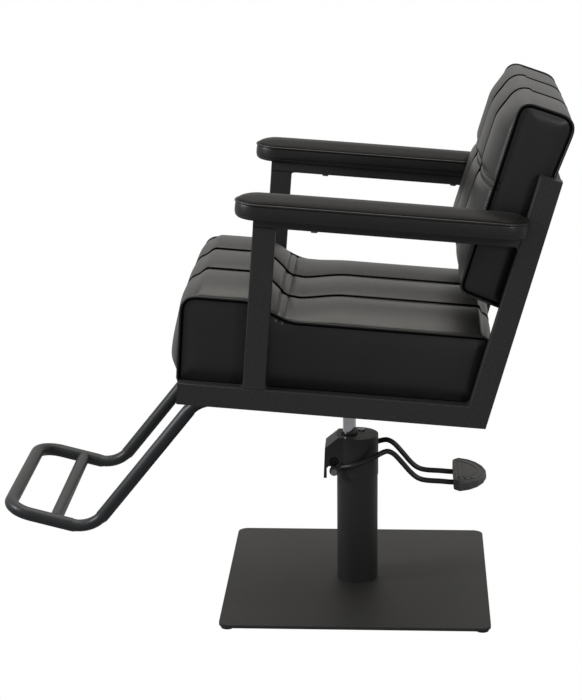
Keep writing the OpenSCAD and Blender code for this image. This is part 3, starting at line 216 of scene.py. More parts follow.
def sewing_thread():
    """Black thread, a little lighter than the cover because its fibres scatter light."""
    thread = Finish("sewing_thread", Specular_IOR_Level=0.3)
    fibres = thread.noise(2600, 2)
    thread.feed("Base Color", thread.blend(fibres, grey(0.020), grey(0.045)))
    thread.feed("Roughness", 0.55 + fibres * 0.2)
    thread.feed("Normal", thread.relief(fibres, 0.06 * MM, 0.5))
    return thread.material


# %% [markdown]
# The metal parts are powder coated, painted, plated or turned. Noise at two scales is enough for
# each: a wide one lets the tone drift, and a fine one roughens the surface or scratches it.
# %% Painted and plated metals
def textured_coat(name, level, warmth=0.0, roughness=0.5, grain=0.12, glint_gain=1.6):
    """Powder coat: a fine orange peel, and lighter specks painted into the colour as glints."""
    coat = Finish(name, Specular_IOR_Level=0.5)
    peel = coat.noise(520, 3, 0.65)
    wide = coat.noise(14, 3)
    # Lighter specks in the base colour: painted glints, standing for the tiny bumps catching the
    # light.
    painted_glints = ((coat.noise(600, 2, 0.5) - 0.56) * 9).clipped()
    base = coat.blend(wide, grey(level, warmth), grey(level * 1.25, warmth))
    coat.feed("Base Color", coat.blend(painted_glints * 0.6, base, grey(level * glint_gain * 1.6, warmth)))
    coat.feed("Roughness", roughness + (peel - 0.5) * 0.25)
    coat.feed("Normal", coat.relief(peel, grain * MM, 0.7))
    return coat.material


def gloss_paint(name, level, roughness, cool=0.0):
    """Smooth black paint with fine rubbing marks."""
    paint = Finish(name, Specular_IOR_Level=0.4, Coat_Roughness=0.2)
    wide = paint.noise(22, 4)
    fine = paint.noise(420, 3)
    paint.feed("Base Color", paint.blend(wide, grey(level, -cool), grey(level * 1.4, -cool)))
    paint.feed("Roughness", roughness + wide * 0.10 + (fine - 0.5) * 0.08)
    paint.feed("Coat Weight", 0.05 + wide * 0.1)
    paint.feed("Normal", paint.relief(fine, 0.03 * MM, 0.4))
    return paint.material


def bare_metal(name, level, roughness, warmth=0.0, marks=160):
    """Plated or turned metal, with faint marks of its making."""
    metal = Finish(name, Metallic=1.0)
    wide = metal.noise(30, 3)
    fine = metal.noise(marks * 5, 4)
    metal.feed("Base Color", metal.blend(wide, grey(level, warmth), grey(level * 0.86, warmth)))
    metal.feed("Roughness", roughness + (fine - 0.5) * 0.12 + wide * 0.05)
    metal.feed("Normal", metal.relief(fine, 0.02 * MM, 0.4))
    return metal.material


def matt_rubber():
    rubber = Finish("matt_rubber", Specular_IOR_Level=0.4)
    dust = rubber.noise(40, 4)
    rubber.feed("Base Color", rubber.blend(dust, grey(0.012), grey(0.022)))
    rubber.feed("Roughness", 0.6 + dust * 0.15)
    rubber.feed("Normal", rubber.relief(rubber.noise(900, 2), 0.05 * MM, 0.4))
    return rubber.material


def raw_plywood():
    wood = Finish("raw_plywood", Roughness=0.6)
    layers = wood.node("ShaderNodeTexWave", {"bands_direction": "Z"},
                       {"Vector": wood.place(), "Scale": 60.0, "Distortion": 0.6, "Detail": 2.0})
    grain = wood.noise(260, 5)
    wood.feed("Base Color", wood.blend((layers * 0.6 + grain * 0.4).clipped(),
                                       (0.42, 0.28, 0.15, 1), (0.62, 0.46, 0.28, 1)))
    wood.feed("Normal", wood.relief(grain, 0.1 * MM, 0.4))
    return wood.material


# %% [markdown]
# Each slot of the record gets its finish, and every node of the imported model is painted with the
# finish of its slot. New pieces take theirs from the same table.
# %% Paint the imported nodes
FINISHES = {
    "upholstery": leatherette("leatherette", 0.012, 0.020, 0.5),
    # A darker, less shiny copy of the leatherette for the tops of the arm pads: painted shade.
    "smooth_hide": leatherette("smooth_leatherette", 0.006, 0.011, 0.10),
    "frame_coat": textured_coat("frame_powder_coat", 0.022, 0.02, 0.50),
    "plate_coat": textured_coat("plate_powder_coat", 0.019, 0.07, 0.60, 0.08, 1.3),
    "column_coat": textured_coat("column_powder_coat", 0.017, 0.05, 0.44, 0.05, 1.2),
    "footrest_coat": gloss_paint("footrest_paint", 0.022, 0.38, 0.04),
    "rod_coat": gloss_paint("rod_paint", 0.018, 0.34),
    "casting": textured_coat("pedal_casting", 0.055, 0.02, 0.50, 0.10, 1.4),
    # Black oxide, darkened past the steel's own tone so that the pin head in the pump's recess also
    # paints the recess's shade.
    "black_steel": gloss_paint("black_oxide", 0.002, 0.60),
    "steel": bare_metal("turned_steel", 0.45, 0.32),
    "chrome": bare_metal("hard_chrome", 0.82, 0.07, -0.01, 90),
    "bronze": bare_metal("turned_bronze", 0.50, 0.30, 0.3),
    "zinc": bare_metal("dulled_zinc", 0.34, 0.34, 0.02),
    "rubber": matt_rubber(),
    "plywood": raw_plywood(),
    "piping": leatherette("piping_leatherette", 0.009, 0.014, 0.5),
    # Near-black leatherette for the tubes laid in the seams and under the piping: painted shade of
    # those grooves.
    "fold": leatherette("folded_leatherette", 0.0008, 0.0015, 0.03),
    "thread": sewing_thread(),
}
SLOT_OF = {part["node"]: part["material_slot"] for part in frame["record"]["subparts"]}
RECORD_SLOTS = set(SLOT_OF.values())


def paint(piece, slot):
    piece.data.materials.clear()
    piece.data.materials.append(FINISHES[slot])


for node, piece in frame["nodes"].items():
    paint(piece, SLOT_OF[node])
print("painted", len(frame["nodes"]), "nodes with", len(FINISHES), "finishes")

# %% [markdown]
# The seat frame leans back a little on the pump, so its pieces are easier to write in its own
# directions: x across the chair, a along the side rails to the rear, and b square to them. One
# matrix carries such a point to its place, and the column gives that matrix its origin.
# %% The seat frame's own directions
SEAT_TILT = math.radians(4.4)
RAIL_FOOT_Z = 414.3 * MM
COLUMN_Y = sum(corner.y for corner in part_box("column_tube")) / 2
SEAT = Matrix.Translation((0, COLUMN_Y, RAIL_FOOT_Z)) @ Matrix.Rotation(-SEAT_TILT, 4, "X")
COLUMN = Matrix.Translation((0, COLUMN_Y, 0))


def placed(matrix, points_mm):
    """Points in millimetres in a piece's own directions, carried to the chair's frame."""
    points = np.asarray(points_mm, float) * MM
    turn = np.array(matrix.to_3x3())
    return points @ turn.T + np.array(matrix.translation)


def unplaced(matrix, points):
    """The other way round: from the chair's frame to a piece's own directions, in millimetres."""
    turn = np.array(matrix.to_3x3())
    return (np.asarray(points, float) - np.array(matrix.translation)) @ turn / MM


def points_of(piece):
    flat = np.empty(3 * len(piece.data.vertices))
    piece.data.vertices.foreach_get("co", flat)
    return flat.reshape(-1, 3)


def set_points(piece, points):
    piece.data.vertices.foreach_set("co", np.asarray(points, float).ravel())
    piece.data.update()


# %% [markdown]
# A few small jobs come back for every piece: selecting it alone, applying a modifier, merging its
# doubles with its faces turned outwards, and finishing, which names the piece, paints it, shades
# it and makes it ride on the body that it belongs to.
# %% Helpers for the pieces
DOUBLES = 0.01 * MM


def alone(piece):
    """Selects one object and nothing else."""
    bpy.ops.object.select_all(action="DESELECT")
    piece.select_set(True)
    bpy.context.view_layer.objects.active = piece


def mesh_piece(name, points, faces):
    """A new mesh object from points in metres and faces."""
    mesh = bpy.data.meshes.new(name)
    mesh.from_pydata([tuple(p) for p in points], [], [tuple(int(i) for i in f) for f in faces])
    piece = bpy.data.objects.new(name, mesh)
    bpy.context.scene.collection.objects.link(piece)
    alone(piece)
    return piece


def modify(piece, kind, **settings):
    """Adds a modifier and applies it at once."""
    alone(piece)
    modifier = piece.modifiers.new(kind.lower(), kind)
    for key, value in settings.items():
        setattr(modifier, key, value)
    bpy.ops.object.modifier_apply(modifier=modifier.name)


def outward(piece):
    """Merges doubles and turns every face outwards."""
    alone(piece)
    bpy.ops.object.mode_set(mode="EDIT")
    bpy.ops.mesh.select_all(action="SELECT")
    bpy.ops.mesh.remove_doubles(threshold=DOUBLES)
    bpy.ops.mesh.normals_make_consistent(inside=False)
    bpy.ops.object.mode_set(mode="OBJECT")


def finish(piece, name, body, slot, stands_for=(), angle=None):
    """Names, paints and shades a piece, and lets it ride on its body."""
    piece.name = piece.data.name = name
    paint(piece, slot)
    alone(piece)
    if angle is None:
        bpy.ops.object.shade_smooth()
    else:
        bpy.ops.object.shade_smooth_by_angle(angle=math.radians(angle))
    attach(piece, body)
    slot if slot in RECORD_SLOTS else "upholstery"
    if stands_for:
        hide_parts(*stands_for)
    print(name, len(piece.data.polygons), "faces")
    return piece


def copy_of(node):
    """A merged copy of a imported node, with its flat faces whole again."""
    piece = frame["nodes"][node].copy()
    piece.data = piece.data.copy()
    piece.parent = None
    for key in list(piece.keys()):
        del piece[key]
    bpy.context.scene.collection.objects.link(piece)
    alone(piece)
    bpy.ops.object.mode_set(mode="EDIT")
    bpy.ops.mesh.select_all(action="SELECT")
    bpy.ops.mesh.remove_doubles(threshold=DOUBLES)
    bpy.ops.mesh.dissolve_limited(angle_limit=math.radians(0.5))
    bpy.ops.object.mode_set(mode="OBJECT")
    if piece.data.has_custom_normals:
        bpy.ops.mesh.customdata_custom_splitnormals_clear()
    return piece


# %% [markdown]
# The cushions are sewn from leatherette over foam. Each starts as a grid of quads that is wrapped
# round a side outline, with more columns beside the seams, where the surface turns sharply. The
# two side panels are grids too, blended between the four runs of the outline, so that the whole
# cushion is one closed skin of even quads that cloth simulation can blow up.
# %% Outlines and grids
def ease(t):
    t = np.clip(t, 0, 1)
    return t * t * (3 - 2 * t)


def rounded(before, corner, after, tangent, count=9):
    """Points of a rounded corner whose tangents have that length."""
    before, corner, after = (np.array(p, float) for p in (before, corner, after))
    start = corner + tangent * (before - corner) / norm(before - corner)
    end = corner + tangent * (after - corner) / norm(after - corner)
    t = np.linspace(0, 1, count)[:, None]
    return (1 - t) ** 2 * start + 2 * t * (1 - t) * corner + t ** 2 * end


def evenly(line, count):
    """Points evenly spaced along a line, without its last point."""
    steps = np.r_[0, np.cumsum(norm(np.diff(line, axis=0), axis=1))]
    places = np.linspace(0, steps[-1], count + 1)[:-1]
    return np.column_stack([np.interp(places, steps, line[:, k]) for k in range(line.shape[1])])


def four_runs(outline, corners, flat_count, up_count):
    """The outline as an even loop from its first corner: foot, rear, top and front."""
    outline = evenly(np.vstack([outline, outline[:1]]), 1400)
    starts = [int(np.argmin(norm(outline - c, axis=1))) for c in corners]
    loop = np.roll(outline, -starts[0], axis=0)
    ends = [(s - starts[0]) % len(outline) for s in starts] + [len(outline)]
    closed = np.vstack([loop, loop[:1]])
    counts = (flat_count, up_count, flat_count, up_count)
    return np.vstack([evenly(closed[ends[k]:ends[k + 1] + 1], counts[k]) for k in range(4)])


def out_of(loop):
    """The outward direction at each point of a loop that runs anticlockwise."""
    along = np.roll(loop, -1, axis=0) - np.roll(loop, 1, axis=0)
    along /= norm(along, axis=1)[:, None]
    return np.c_[along[:, 1], -along[:, 0]]


def seam_columns(half_w, seams, step=5.0, near=(0, 1.3, 2.8, 5.0, 8.0)):
    """Places across the cushion: even ones, and closer ones beside each seam."""
    close = [s + side * d for s in seams for d in near for side in (-1, 1)]
    close += [side * (half_w - d) for d in near for side in (-1, 1)]
    even = [x for x in np.arange(-half_w, half_w, step)
            if all(abs(x - s) > near[-1] + step / 2 for s in (*seams, half_w, -half_w))]
    return np.array(sorted(set(np.round(close + even, 3))))


def bands(rings, n, first=0):
    """Quads between neighbouring closed rings of n points, counted from a first point."""
    return [(first + i * n + j, first + i * n + (j + 1) % n,
             first + (i + 1) * n + (j + 1) % n, first + (i + 1) * n + j)
            for i in range(rings - 1) for j in range(n)]


def side_grid(loop, flat_count, up_count):
    """Inner points of a side panel, between the outline's four runs, and how deep each lies."""
    a, c = flat_count, up_count
    foot, rear = loop[0:a + 1], loop[a:a + c + 1]
    top = loop[a + c:2 * a + c + 1][::-1]
    front = np.vstack([loop[2 * a + c:], loop[:1]])[::-1]
    u, v = (g[..., None] for g in np.meshgrid(np.linspace(0, 1, a + 1), np.linspace(0, 1, c + 1),
                                              indexing="ij"))
    flat = ((1 - v) * foot[:, None] + v * top[:, None] + (1 - u) * front[None] + u * rear[None]
            - (1 - u) * (1 - v) * foot[0] - u * (1 - v) * foot[-1]
            - (1 - u) * v * top[0] - u * v * top[-1])
    depth = np.minimum(np.minimum(u, 1 - u) * np.ptp(foot[:, 0]),
                       np.minimum(v, 1 - v) * np.ptp(rear[:, 1]))[..., 0]
    return flat, depth


def cushion_mesh(name, matrix, loop, columns, lift, bulge, flat_count, up_count):
    """A closed cushion skin. Returns it with, for each point, its column and its loop place."""
    n, m = len(loop), len(columns)
    normals = out_of(loop)
    rings = [np.c_[np.full(n, x), loop + lift(x)[:, None] * normals] for x in columns]
    points = [np.vstack(rings)]
    faces = bands(m, n)
    flat, depth = side_grid(loop, flat_count, up_count)
    count = m * n
    for first, x, way in ((0, columns[0], -1), ((m - 1) * n, columns[-1], 1)):
        index = np.full(flat.shape[:2], -1)
        a, c = flat_count, up_count
        index[:, 0] = first + np.arange(a + 1)
        index[a, :] = first + a + np.arange(c + 1)
        index[:, c] = first + (2 * a + c - np.arange(a + 1)) % n
        index[0, :] = first + (2 * (a + c) - np.arange(c + 1)) % n
        inner = np.argwhere(index < 0)
        index[index < 0] = count + np.arange(len(inner))
        count += len(inner)
        p, d = flat[inner[:, 0], inner[:, 1]], depth[inner[:, 0], inner[:, 1]]
        points.append(np.c_[x + way * bulge * ease(d / 22), p])
        quads = [(index[i, j], index[i + 1, j], index[i + 1, j + 1], index[i, j + 1])
                 for i in range(a) for j in range(c)]
        faces += [q[::-1] for q in quads] if way < 0 else quads
    piece = mesh_piece(name, placed(matrix, np.vstack(points)), faces)
    outward(piece)
    return piece


# %% [markdown]
# Inside the cushion the foam presses everywhere, and only the seams, the piping and the board
# under it hold the cover down. Blender's cloth does the same: pressure from inside, with those
# places pinned. How far a point may move is capped, so that the cushion keeps its size.
# %% Blow a cushion up
FRAMES, PRESSURE = 20, 4.0


def blow_up(piece, held, cap):
    """Cloth with pressure, held where the mask is 1. No point moves further than the cap."""
    rest = points_of(piece)
    group = piece.vertex_groups.new(name="held")
    for index, share in enumerate(held):
        if share > 0:
            group.add([index], float(share), "REPLACE")
    cloth = piece.modifiers.new("cloth", "CLOTH")
    cloth.settings.use_pressure = True
    cloth.settings.uniform_pressure_force = PRESSURE
    cloth.settings.effector_weights.gravity = 0
    cloth.settings.vertex_group_mass = "held"
    cloth.settings.quality = 5
    cloth.point_cache.frame_start, cloth.point_cache.frame_end = 1, FRAMES
    scene = bpy.context.scene
    for step in range(1, FRAMES + 1):
        scene.frame_set(step)
    shape = piece.evaluated_get(bpy.context.evaluated_depsgraph_get()).data
    blown = np.array([v.co for v in shape.vertices])
    piece.modifiers.remove(cloth)
    scene.frame_set(1)
    move = blown - rest
    length = norm(move, axis=1)[:, None]
    limit = cap * MM
    set_points(piece, rest + move * np.where(length > 0, limit * np.tanh(length / limit)
                                             / np.maximum(length, 1e-9), 0))
    piece.vertex_groups.remove(group)
    print(piece.name, "rose by up to", round(float(length.max()) / MM, 1), "mm, capped at", cap)


# %% [markdown]
# Sewing shows in three ways. Along a seam the cover is drawn in to a narrow groove, and a
# near-black tube lies in it as painted shade of the groove. Round the side panels runs a piping, a
# cord in a strip of the same leatherette, which lies on a wider near-black tube, painted shade too.
# And on the seams that cross a cushion the thread itself lies on the surface, as short stitches in
# two rows.
# %% Seams, piping and stitches
FAR = 99
SEAM_GROOVE, PIPING_GROOVE, ROW_GROOVE = (2.5, 3.4), (2.0, 3.2), (2.4, 2.4)
# How far up from the seam towards the panel's crown the tube of painted shade lies.
SHADE_STRIP_SHARE = 0.52


def sink(piece, distance, depth, width):
    """Draws the skin in along its normals, most where the distance in mm is 0."""
    normals = np.empty(3 * len(piece.data.vertices))
    piece.data.vertices.foreach_get("normal", normals)
    press = depth * MM * np.exp(-(np.asarray(distance) / width) ** 2)
    set_points(piece, points_of(piece) - press[:, None] * normals.reshape(-1, 3))


def nearest(values, places):
    return np.min([np.abs(values - p) for p in places], axis=0)


def draw_in(cover, matrix, on_seams, on_rows, axis, rows):
    """Grooves a cover at its long seams, its piping and the rows of its cross seam. Two masks
    say where the seams run, in the cushion's own directions."""
    at = unplaced(matrix, points_of(cover)).T
    sink(cover, np.where(on_seams(*at), nearest(at[0], SEAMS), FAR), *SEAM_GROOVE)
    sink(cover, nearest(at[0], (-HALF_W, HALF_W)), *PIPING_GROOVE)
    at = unplaced(matrix, points_of(cover)).T
    crossed = on_rows(*at) & (np.abs(at[0]) < HALF_W - 1)
    sink(cover, np.where(crossed, nearest(at[axis], rows), FAR), *ROW_GROOVE)


def tube_along(name, lines, radius, closed=False, sides=4):
    """A round tube along lines of points in metres."""
    curve = bpy.data.curves.new(name, "CURVE")
    curve.dimensions = "3D"
    curve.bevel_depth = radius * MM
    curve.bevel_resolution = sides
    curve.use_fill_caps = not closed
    for line in lines:
        spline = curve.splines.new("POLY")
        spline.points.add(len(line) - 1)
        spline.points.foreach_set("co", np.c_[line, np.ones(len(line))].ravel())
        spline.use_cyclic_u = closed
    tube = bpy.data.objects.new(name, curve)
    bpy.context.scene.collection.objects.link(tube)
    alone(tube)
    bpy.ops.object.convert(target="MESH")
    outward(bpy.context.object)
    return bpy.context.object


def piping(name, matrix, loop, half_w):
    """Two closed cords, one round each side panel, each on a wider near-black tube: painted shade
    along its seam.
    """
    cord = evenly(np.vstack([loop, loop[:1]]), 240)
    # The wider near-black tube under the cord is painted shade along the seam.
    for kind, radius, proud in (("piping", 1.9, 1.5), ("fold", 3.3, -1.3)):
        line = cord + proud * out_of(cord)
        lines = [placed(matrix, np.c_[np.full(len(line), side * (half_w + proud)), line])
                 for side in (-1, 1)]
        piece = f"{name}_{kind}"
        finish(tube_along(piece, lines, radius, closed=True), piece, "seat", kind)


def seam_shade_strips(name, matrix, loop, lift, keep, radius=2.0):
    """Near-black tubes in the seams between the panels, painted shade of the grooves, higher where
    the panels swell more.
    """
    rise = lift(SEAMS[0]) - 1 + SHADE_STRIP_SHARE * (lift(0) - lift(SEAMS[0]))
    line = (loop + rise[:, None] * out_of(loop))[keep]
    lines = [placed(matrix, np.c_[np.full(len(line), x), line]) for x in SEAMS]
    finish(tube_along(name, lines, radius), name, "seat", "fold")


def stitches(name, cover, matrix, start, towards, rows, half_w, pitch=6.5, length=4.6):
    """Rows of short threads across a cushion, laid on the cover. start is a point in mm from
    which a ray runs towards the cover for each stitch; rows are shifts of that point in mm."""
    skin = BVHTree.FromPolygons([v.co for v in cover.data.vertices],
                                [f.vertices for f in cover.data.polygons])
    aim = (matrix.to_3x3() @ Vector(towards)).normalized()
    points, faces = [], []
    turn = [(math.cos(k * math.pi / 3), math.sin(k * math.pi / 3)) for k in range(6)]
    for row in rows:
        for x in np.arange(-half_w + pitch / 2, half_w, pitch):
            if nearest(np.array([x]), SEAMS)[0] < pitch / 2:
                continue
            ends = []
            for reach in (-length / 2, 0, length / 2):
                here = placed(matrix, [[x + reach, start[0] + row[0], start[1] + row[1]]])[0]
                hit = skin.ray_cast(Vector(here), aim)[0]
                ends.append(hit - aim * 0.25 * MM if hit else None)
            if None in ends:
                continue
            side = aim.cross(ends[2] - ends[0]).normalized()
            first = len(points)
            for middle, thick in zip((ends[0], *(ends[0].lerp(ends[2], t) for t in (0.2, 0.8)),
                                      ends[2]), (0.2, 0.55, 0.55, 0.2)):
                points += [middle + (c * side + w * aim) * thick * MM for c, w in turn]
            faces += bands(4, 6, first)
            faces += [tuple(first + k for k in range(6))[::-1],
                      tuple(first + 18 + k for k in range(6))]
    thread = mesh_piece(name, points, faces)
    outward(thread)
    finish(thread, name, "seat", "thread")


# %% [markdown]
# The seat cushion has three lengthwise panels and a raised front roll. Its side outline comes from
# the piping in the picture. Behind the roll a double-stitched seam runs across and pulls the
# panels down, and the front is fullest low down, where the foam sags over its board.
# %% Seat cushion
HALF_W = 234.0
SEAMS = (-78.0, 78.0)
PANEL = 2 * HALF_W / 3
PUFF, SEAM_PULL = 12.0, 5
SEAT_CROWN, SEAT_BULGE = 11, 3.0
SEAT_FRONT, SEAT_REAR, SEAT_BASE = -319.0, 227.0, 35.0
SEAT_TOP, ROLL_TOP = 159.0, 191.0
ROLL_END, FLAT_START = -212.0, -112.0
CROSS_SEAM = -142.0
CROSS_ROWS = (CROSS_SEAM - 6, CROSS_SEAM + 6)
SEAT_LONG, SEAT_SHORT = 120, 32


def seat_top(a):
    return SEAT_TOP + (ROLL_TOP - SEAT_TOP) * ease((FLAT_START - a) / (FLAT_START - ROLL_END))


def seat_outline():
    front_foot, rear_foot = (SEAT_FRONT + 1, SEAT_BASE), (SEAT_REAR - 12, SEAT_BASE)
    rear_top, front_top = (SEAT_REAR, SEAT_TOP), (SEAT_FRONT, ROLL_TOP)
    a = np.linspace(SEAT_REAR - 14, SEAT_FRONT + 28, 160)[1:-1]
    outline = np.vstack([
        rounded(front_top, front_foot, rear_foot, 6), rounded(front_foot, rear_foot, rear_top, 6),
        rounded(rear_foot, rear_top, (SEAT_FRONT, SEAT_TOP), 14),
        np.c_[a, seat_top(a)],
        rounded((SEAT_REAR, ROLL_TOP), front_top, front_foot, 28)])
    corners = (front_foot, rear_foot, (SEAT_REAR - 3, SEAT_TOP - 3), (SEAT_FRONT + 8, ROLL_TOP - 8))
    return four_runs(outline, corners, SEAT_LONG, SEAT_SHORT)


def dip(distance, half_w):
    """1 on a seam, and 0 from half_w on."""
    return np.where(np.abs(distance) < half_w, 0.5 + 0.5 * np.cos(np.pi * distance / half_w), 0)


def puff(x):
    """How far a panel stands out at x, from 0 on its seams to 1 in its middle."""
    return np.sqrt(np.abs(np.sin(np.pi * (x + HALF_W) / PANEL)))


def arch(x):
    return 1 - abs(x / HALF_W) ** 4


seat_loop = seat_outline()
seat_a, seat_b = seat_loop.T
rise = seat_b - SEAT_BASE
FRONT_H = SEAT_TOP - SEAT_BASE
EDGE = 0.3
behind_front = seat_a - SEAT_FRONT - 15
seat_weight = np.where(
    seat_a > SEAT_REAR - 14, EDGE * ease(rise / FRONT_H),
    np.where(behind_front < 0,
             ease(rise * 4 / FRONT_H) * (1 - (1 - EDGE) * ease((rise - FRONT_H / 4) / FRONT_H)),
             np.where(rise > 8, EDGE + (1 - EDGE) * ease(behind_front / 18), 0)))
seam_height = np.where(seat_a > CROSS_SEAM, ease((seat_a + 128) / 95),
                       ease((CROSS_SEAM - seat_a) / 48))


def seat_lift(x):
    crown = SEAT_CROWN * seam_height * arch(x)
    return seat_weight * (crown + (PUFF - SEAM_PULL * dip(seat_a - CROSS_SEAM, 18)) * puff(x))


seat_columns = seam_columns(HALF_W, SEAMS)
seat = cushion_mesh("seat_cover", SEAT, seat_loop, seat_columns, seat_lift, SEAT_BULGE,
                    SEAT_LONG, SEAT_SHORT)


def seat_held(points):
    """The cover is held on its board, at the seams and at the piping."""
    x, a, b = unplaced(SEAT, points).T
    on_top = b > seat_top(a) - 12
    return (b < SEAT_BASE + 4) | (nearest(x, (*SEAMS, -HALF_W, HALF_W)) < 1.5) | (
        on_top & (nearest(a, CROSS_ROWS) < 2.4))


CUSHION_CAP = 7
blow_up(seat, seat_held(points_of(seat)), CUSHION_CAP)
modify(seat, "SUBSURF", levels=1, render_levels=1)
draw_in(seat, SEAT, lambda x, a, b: True, lambda x, a, b: b > seat_top(a) - 14, 1, CROSS_ROWS)
finish(seat, "seat_cover", "seat", "upholstery", ["seat_cushion"])
piping("seat", SEAT, seat_loop, HALF_W)
seam_shade_strips("seat_folds", SEAT, seat_loop, seat_lift, slice(SEAT_LONG + 12, -2))
stitches("seat_stitches", seat, SEAT, (CROSS_SEAM, 260), (0, 0, -1), ((-6, 0), (6, 0)), HALF_W - 4)

# %% [markdown]
# The back cushion is made in the same way, in directions of its own: t runs to the rear and h up
# its front face. It leans back, its double seam crosses the front at a little over half of its
# height, and its foot is thin where it stands behind the seat.
# %% Back cushion
BACK = SEAT @ Matrix.Translation((0, 167 * MM, 241 * MM)) @ Matrix.Rotation(
    math.radians(-12.5), 4, "X")
BACK_FOOT, BACK_REAR_FOOT, BACK_REAR_TOP, BACK_TOP = (0, 0), (77, -7), (100, 343.5), (0, 347)
BACK_H = BACK_TOP[1]
BACK_SEAM = 195.0
BACK_ROWS = (BACK_SEAM - 6, BACK_SEAM + 6)
BACK_SWELL = 262.0
BACK_FLAT, BACK_UP = 26, 88
BACK_CROWN, BACK_BULGE, BACK_EDGE = 15, 4.5, 0.15


def back_outline():
    outline = np.vstack([
        rounded(BACK_TOP, BACK_FOOT, BACK_REAR_FOOT, 16),
        rounded(BACK_FOOT, BACK_REAR_FOOT, BACK_REAR_TOP, 4),
        rounded(BACK_REAR_FOOT, BACK_REAR_TOP, BACK_TOP, 30),
        rounded(BACK_REAR_TOP, BACK_TOP, BACK_FOOT, 24)])
    corners = ((4, 4), (75, -5), (89, 337), (7, 341))
    return four_runs(outline, corners, BACK_FLAT, BACK_UP)


back_loop = back_outline()
back_t, back_h = back_loop.T
back_weight = np.where(
    (back_t > 75) & (back_h < BACK_SWELL), 0, np.where(
        back_t > 68, BACK_EDGE * ease((back_h - BACK_SWELL) / 30), np.where(
            back_t > 24, BACK_EDGE,
            np.minimum(BACK_EDGE + (1 - BACK_EDGE) * ease((back_h - 8) / 60),
                       0.25 + 0.75 * ease((BACK_H - back_h) / 60)))))


def back_lift(x):
    seam = np.where(back_t < 1, dip(back_h - BACK_SEAM, 22), 0)
    return back_weight * (BACK_CROWN * arch(x) + (PUFF - SEAM_PULL * seam) * puff(x))


back = cushion_mesh("back_cover", BACK, back_loop, seat_columns, back_lift, BACK_BULGE,
                    BACK_FLAT, BACK_UP)


def back_held(points):
    """The cover is held on its board behind, at the seams and at the piping."""
    x, t, h = unplaced(BACK, points).T
    in_front = (t < 20) & (h > 10) & (h < BACK_H - 10)
    return (t > 70) | (nearest(x, (*SEAMS, -HALF_W, HALF_W)) < 1.5) | (
        in_front & (nearest(h, BACK_ROWS) < 2.4))


blow_up(back, back_held(points_of(back)), CUSHION_CAP)
modify(back, "SUBSURF", levels=1, render_levels=1)
draw_in(back, BACK, lambda x, t, h: t < 80,
        lambda x, t, h: (t < 10) & (h > 100) & (h < 300), 2, BACK_ROWS)
finish(back, "back_cover", "seat", "upholstery", ["back_cushion"])
piping("back", BACK, back_loop, HALF_W)
seam_shade_strips("back_folds", BACK, back_loop, back_lift, slice(BACK_FLAT + BACK_UP - 14, -2))
stitches("back_stitches", back, BACK, (-60, BACK_SEAM), (0, 1, 0), ((0, -6), (0, 6)), HALF_W - 4)

# %% [markdown]
# An arm pad is long and narrow with round ends: a strip of leatherette goes round its side, a
# piping closes its top edge, and a panel domes over the foam. Its rings follow the outline of the
# pad, closer together near the piping, and shrink to a line along its middle.
# %% Arm pads
ARM_X, ARM_W, ARM_FRONT, ARM_REAR = 268.0, 80.0, -232.0, 272.0
ARM_FOOT, ARM_PIPING, ARM_CROWN = 352.0, 28.0, 13.0
LEAN = math.radians(11.3)
UPRIGHT_FACE, PAD_CAP, NECK = 263.2, 3, 10.0


def pad_ring(inset, height, spacing=4.0):
    """The outline of a pad, drawn in by an inset, as points (x, a, b) that match ring to ring."""
    r = ARM_W / 2
    front, rear = ARM_FRONT + r, ARM_REAR - r
    straight = np.linspace(front, rear, int((rear - front) / spacing) + 1)[1:-1]
    turn = np.linspace(0, math.pi, int(math.pi * r / spacing) + 1)
    inner = r - inset
    ring = np.vstack([
        np.c_[inner * np.cos(turn), rear + inner * np.sin(turn)],
        np.c_[np.full(len(straight), -inner), straight[::-1]],
        np.c_[-inner * np.cos(turn), front - inner * np.sin(turn)],
        np.c_[np.full(len(straight), inner), straight]])
    return np.c_[ring, np.full(len(ring), ARM_FOOT + height)]


def pad_rings():
    side = [(3.5 * (1 - ease(h / 5)) - 1.4 * math.sin(math.pi * h / ARM_PIPING), h)
            for h in (0, 1.5, 3, 4.5, 6, 7.5, 10, 14, 18, 22, 25, 27, ARM_PIPING)]
    shares = (0.985, 0.96, 0.92, 0.87, 0.8, 0.72, 0.63, 0.53, 0.42, 0.31, 0.2, 0.1, 0)
    top = [(ARM_W / 2 * (1 - s), ARM_PIPING + ARM_CROWN * (1 - s * s) ** 0.6) for s in shares]
    foot = [(ARM_W / 2 * (1 - s), 0) for s in (0, 0.3, 0.6, 0.8)]
    return foot + side + top


def arm_cover(side):
    rings = [pad_ring(inset, height) for inset, height in pad_rings()]
    n = len(rings[0])
    points = np.vstack(rings) + (ARM_X, 0, 0)
    points[:, 0] *= side
    pad = mesh_piece("arm_cover", placed(SEAT, points), bands(len(rings), n))
    outward(pad)
    b = unplaced(SEAT, points_of(pad))[:, 2] - ARM_FOOT
    blow_up(pad, (b < 3.2) | (np.abs(b - ARM_PIPING) < 0.6), PAD_CAP)
    modify(pad, "SUBSURF", levels=1, render_levels=1)
    x, a, b = unplaced(SEAT, points_of(pad)).T
    sink(pad, np.abs(b - ARM_FOOT - 6), 0.9, 1.2)
    sink(pad, np.abs(b - ARM_FOOT - ARM_PIPING), 1.2, 2.0)
    fit_pad(pad, side)
    name = "left_arm_cover" if side > 0 else "right_arm_cover"
    # The top of the pad takes the darker copy of the leatherette, painted shade; the faces below
    # the piping keep the cover's own leatherette.
    finish(pad, name, "seat", "smooth_hide", [name.replace("cover", "pad")])
    pad.data.materials.append(FINISHES["upholstery"])
    for face in pad.data.polygons:
        height = unplaced(SEAT, [face.center])[0][2] - ARM_FOOT
        face.material_index = int(height < ARM_PIPING)
    return pad


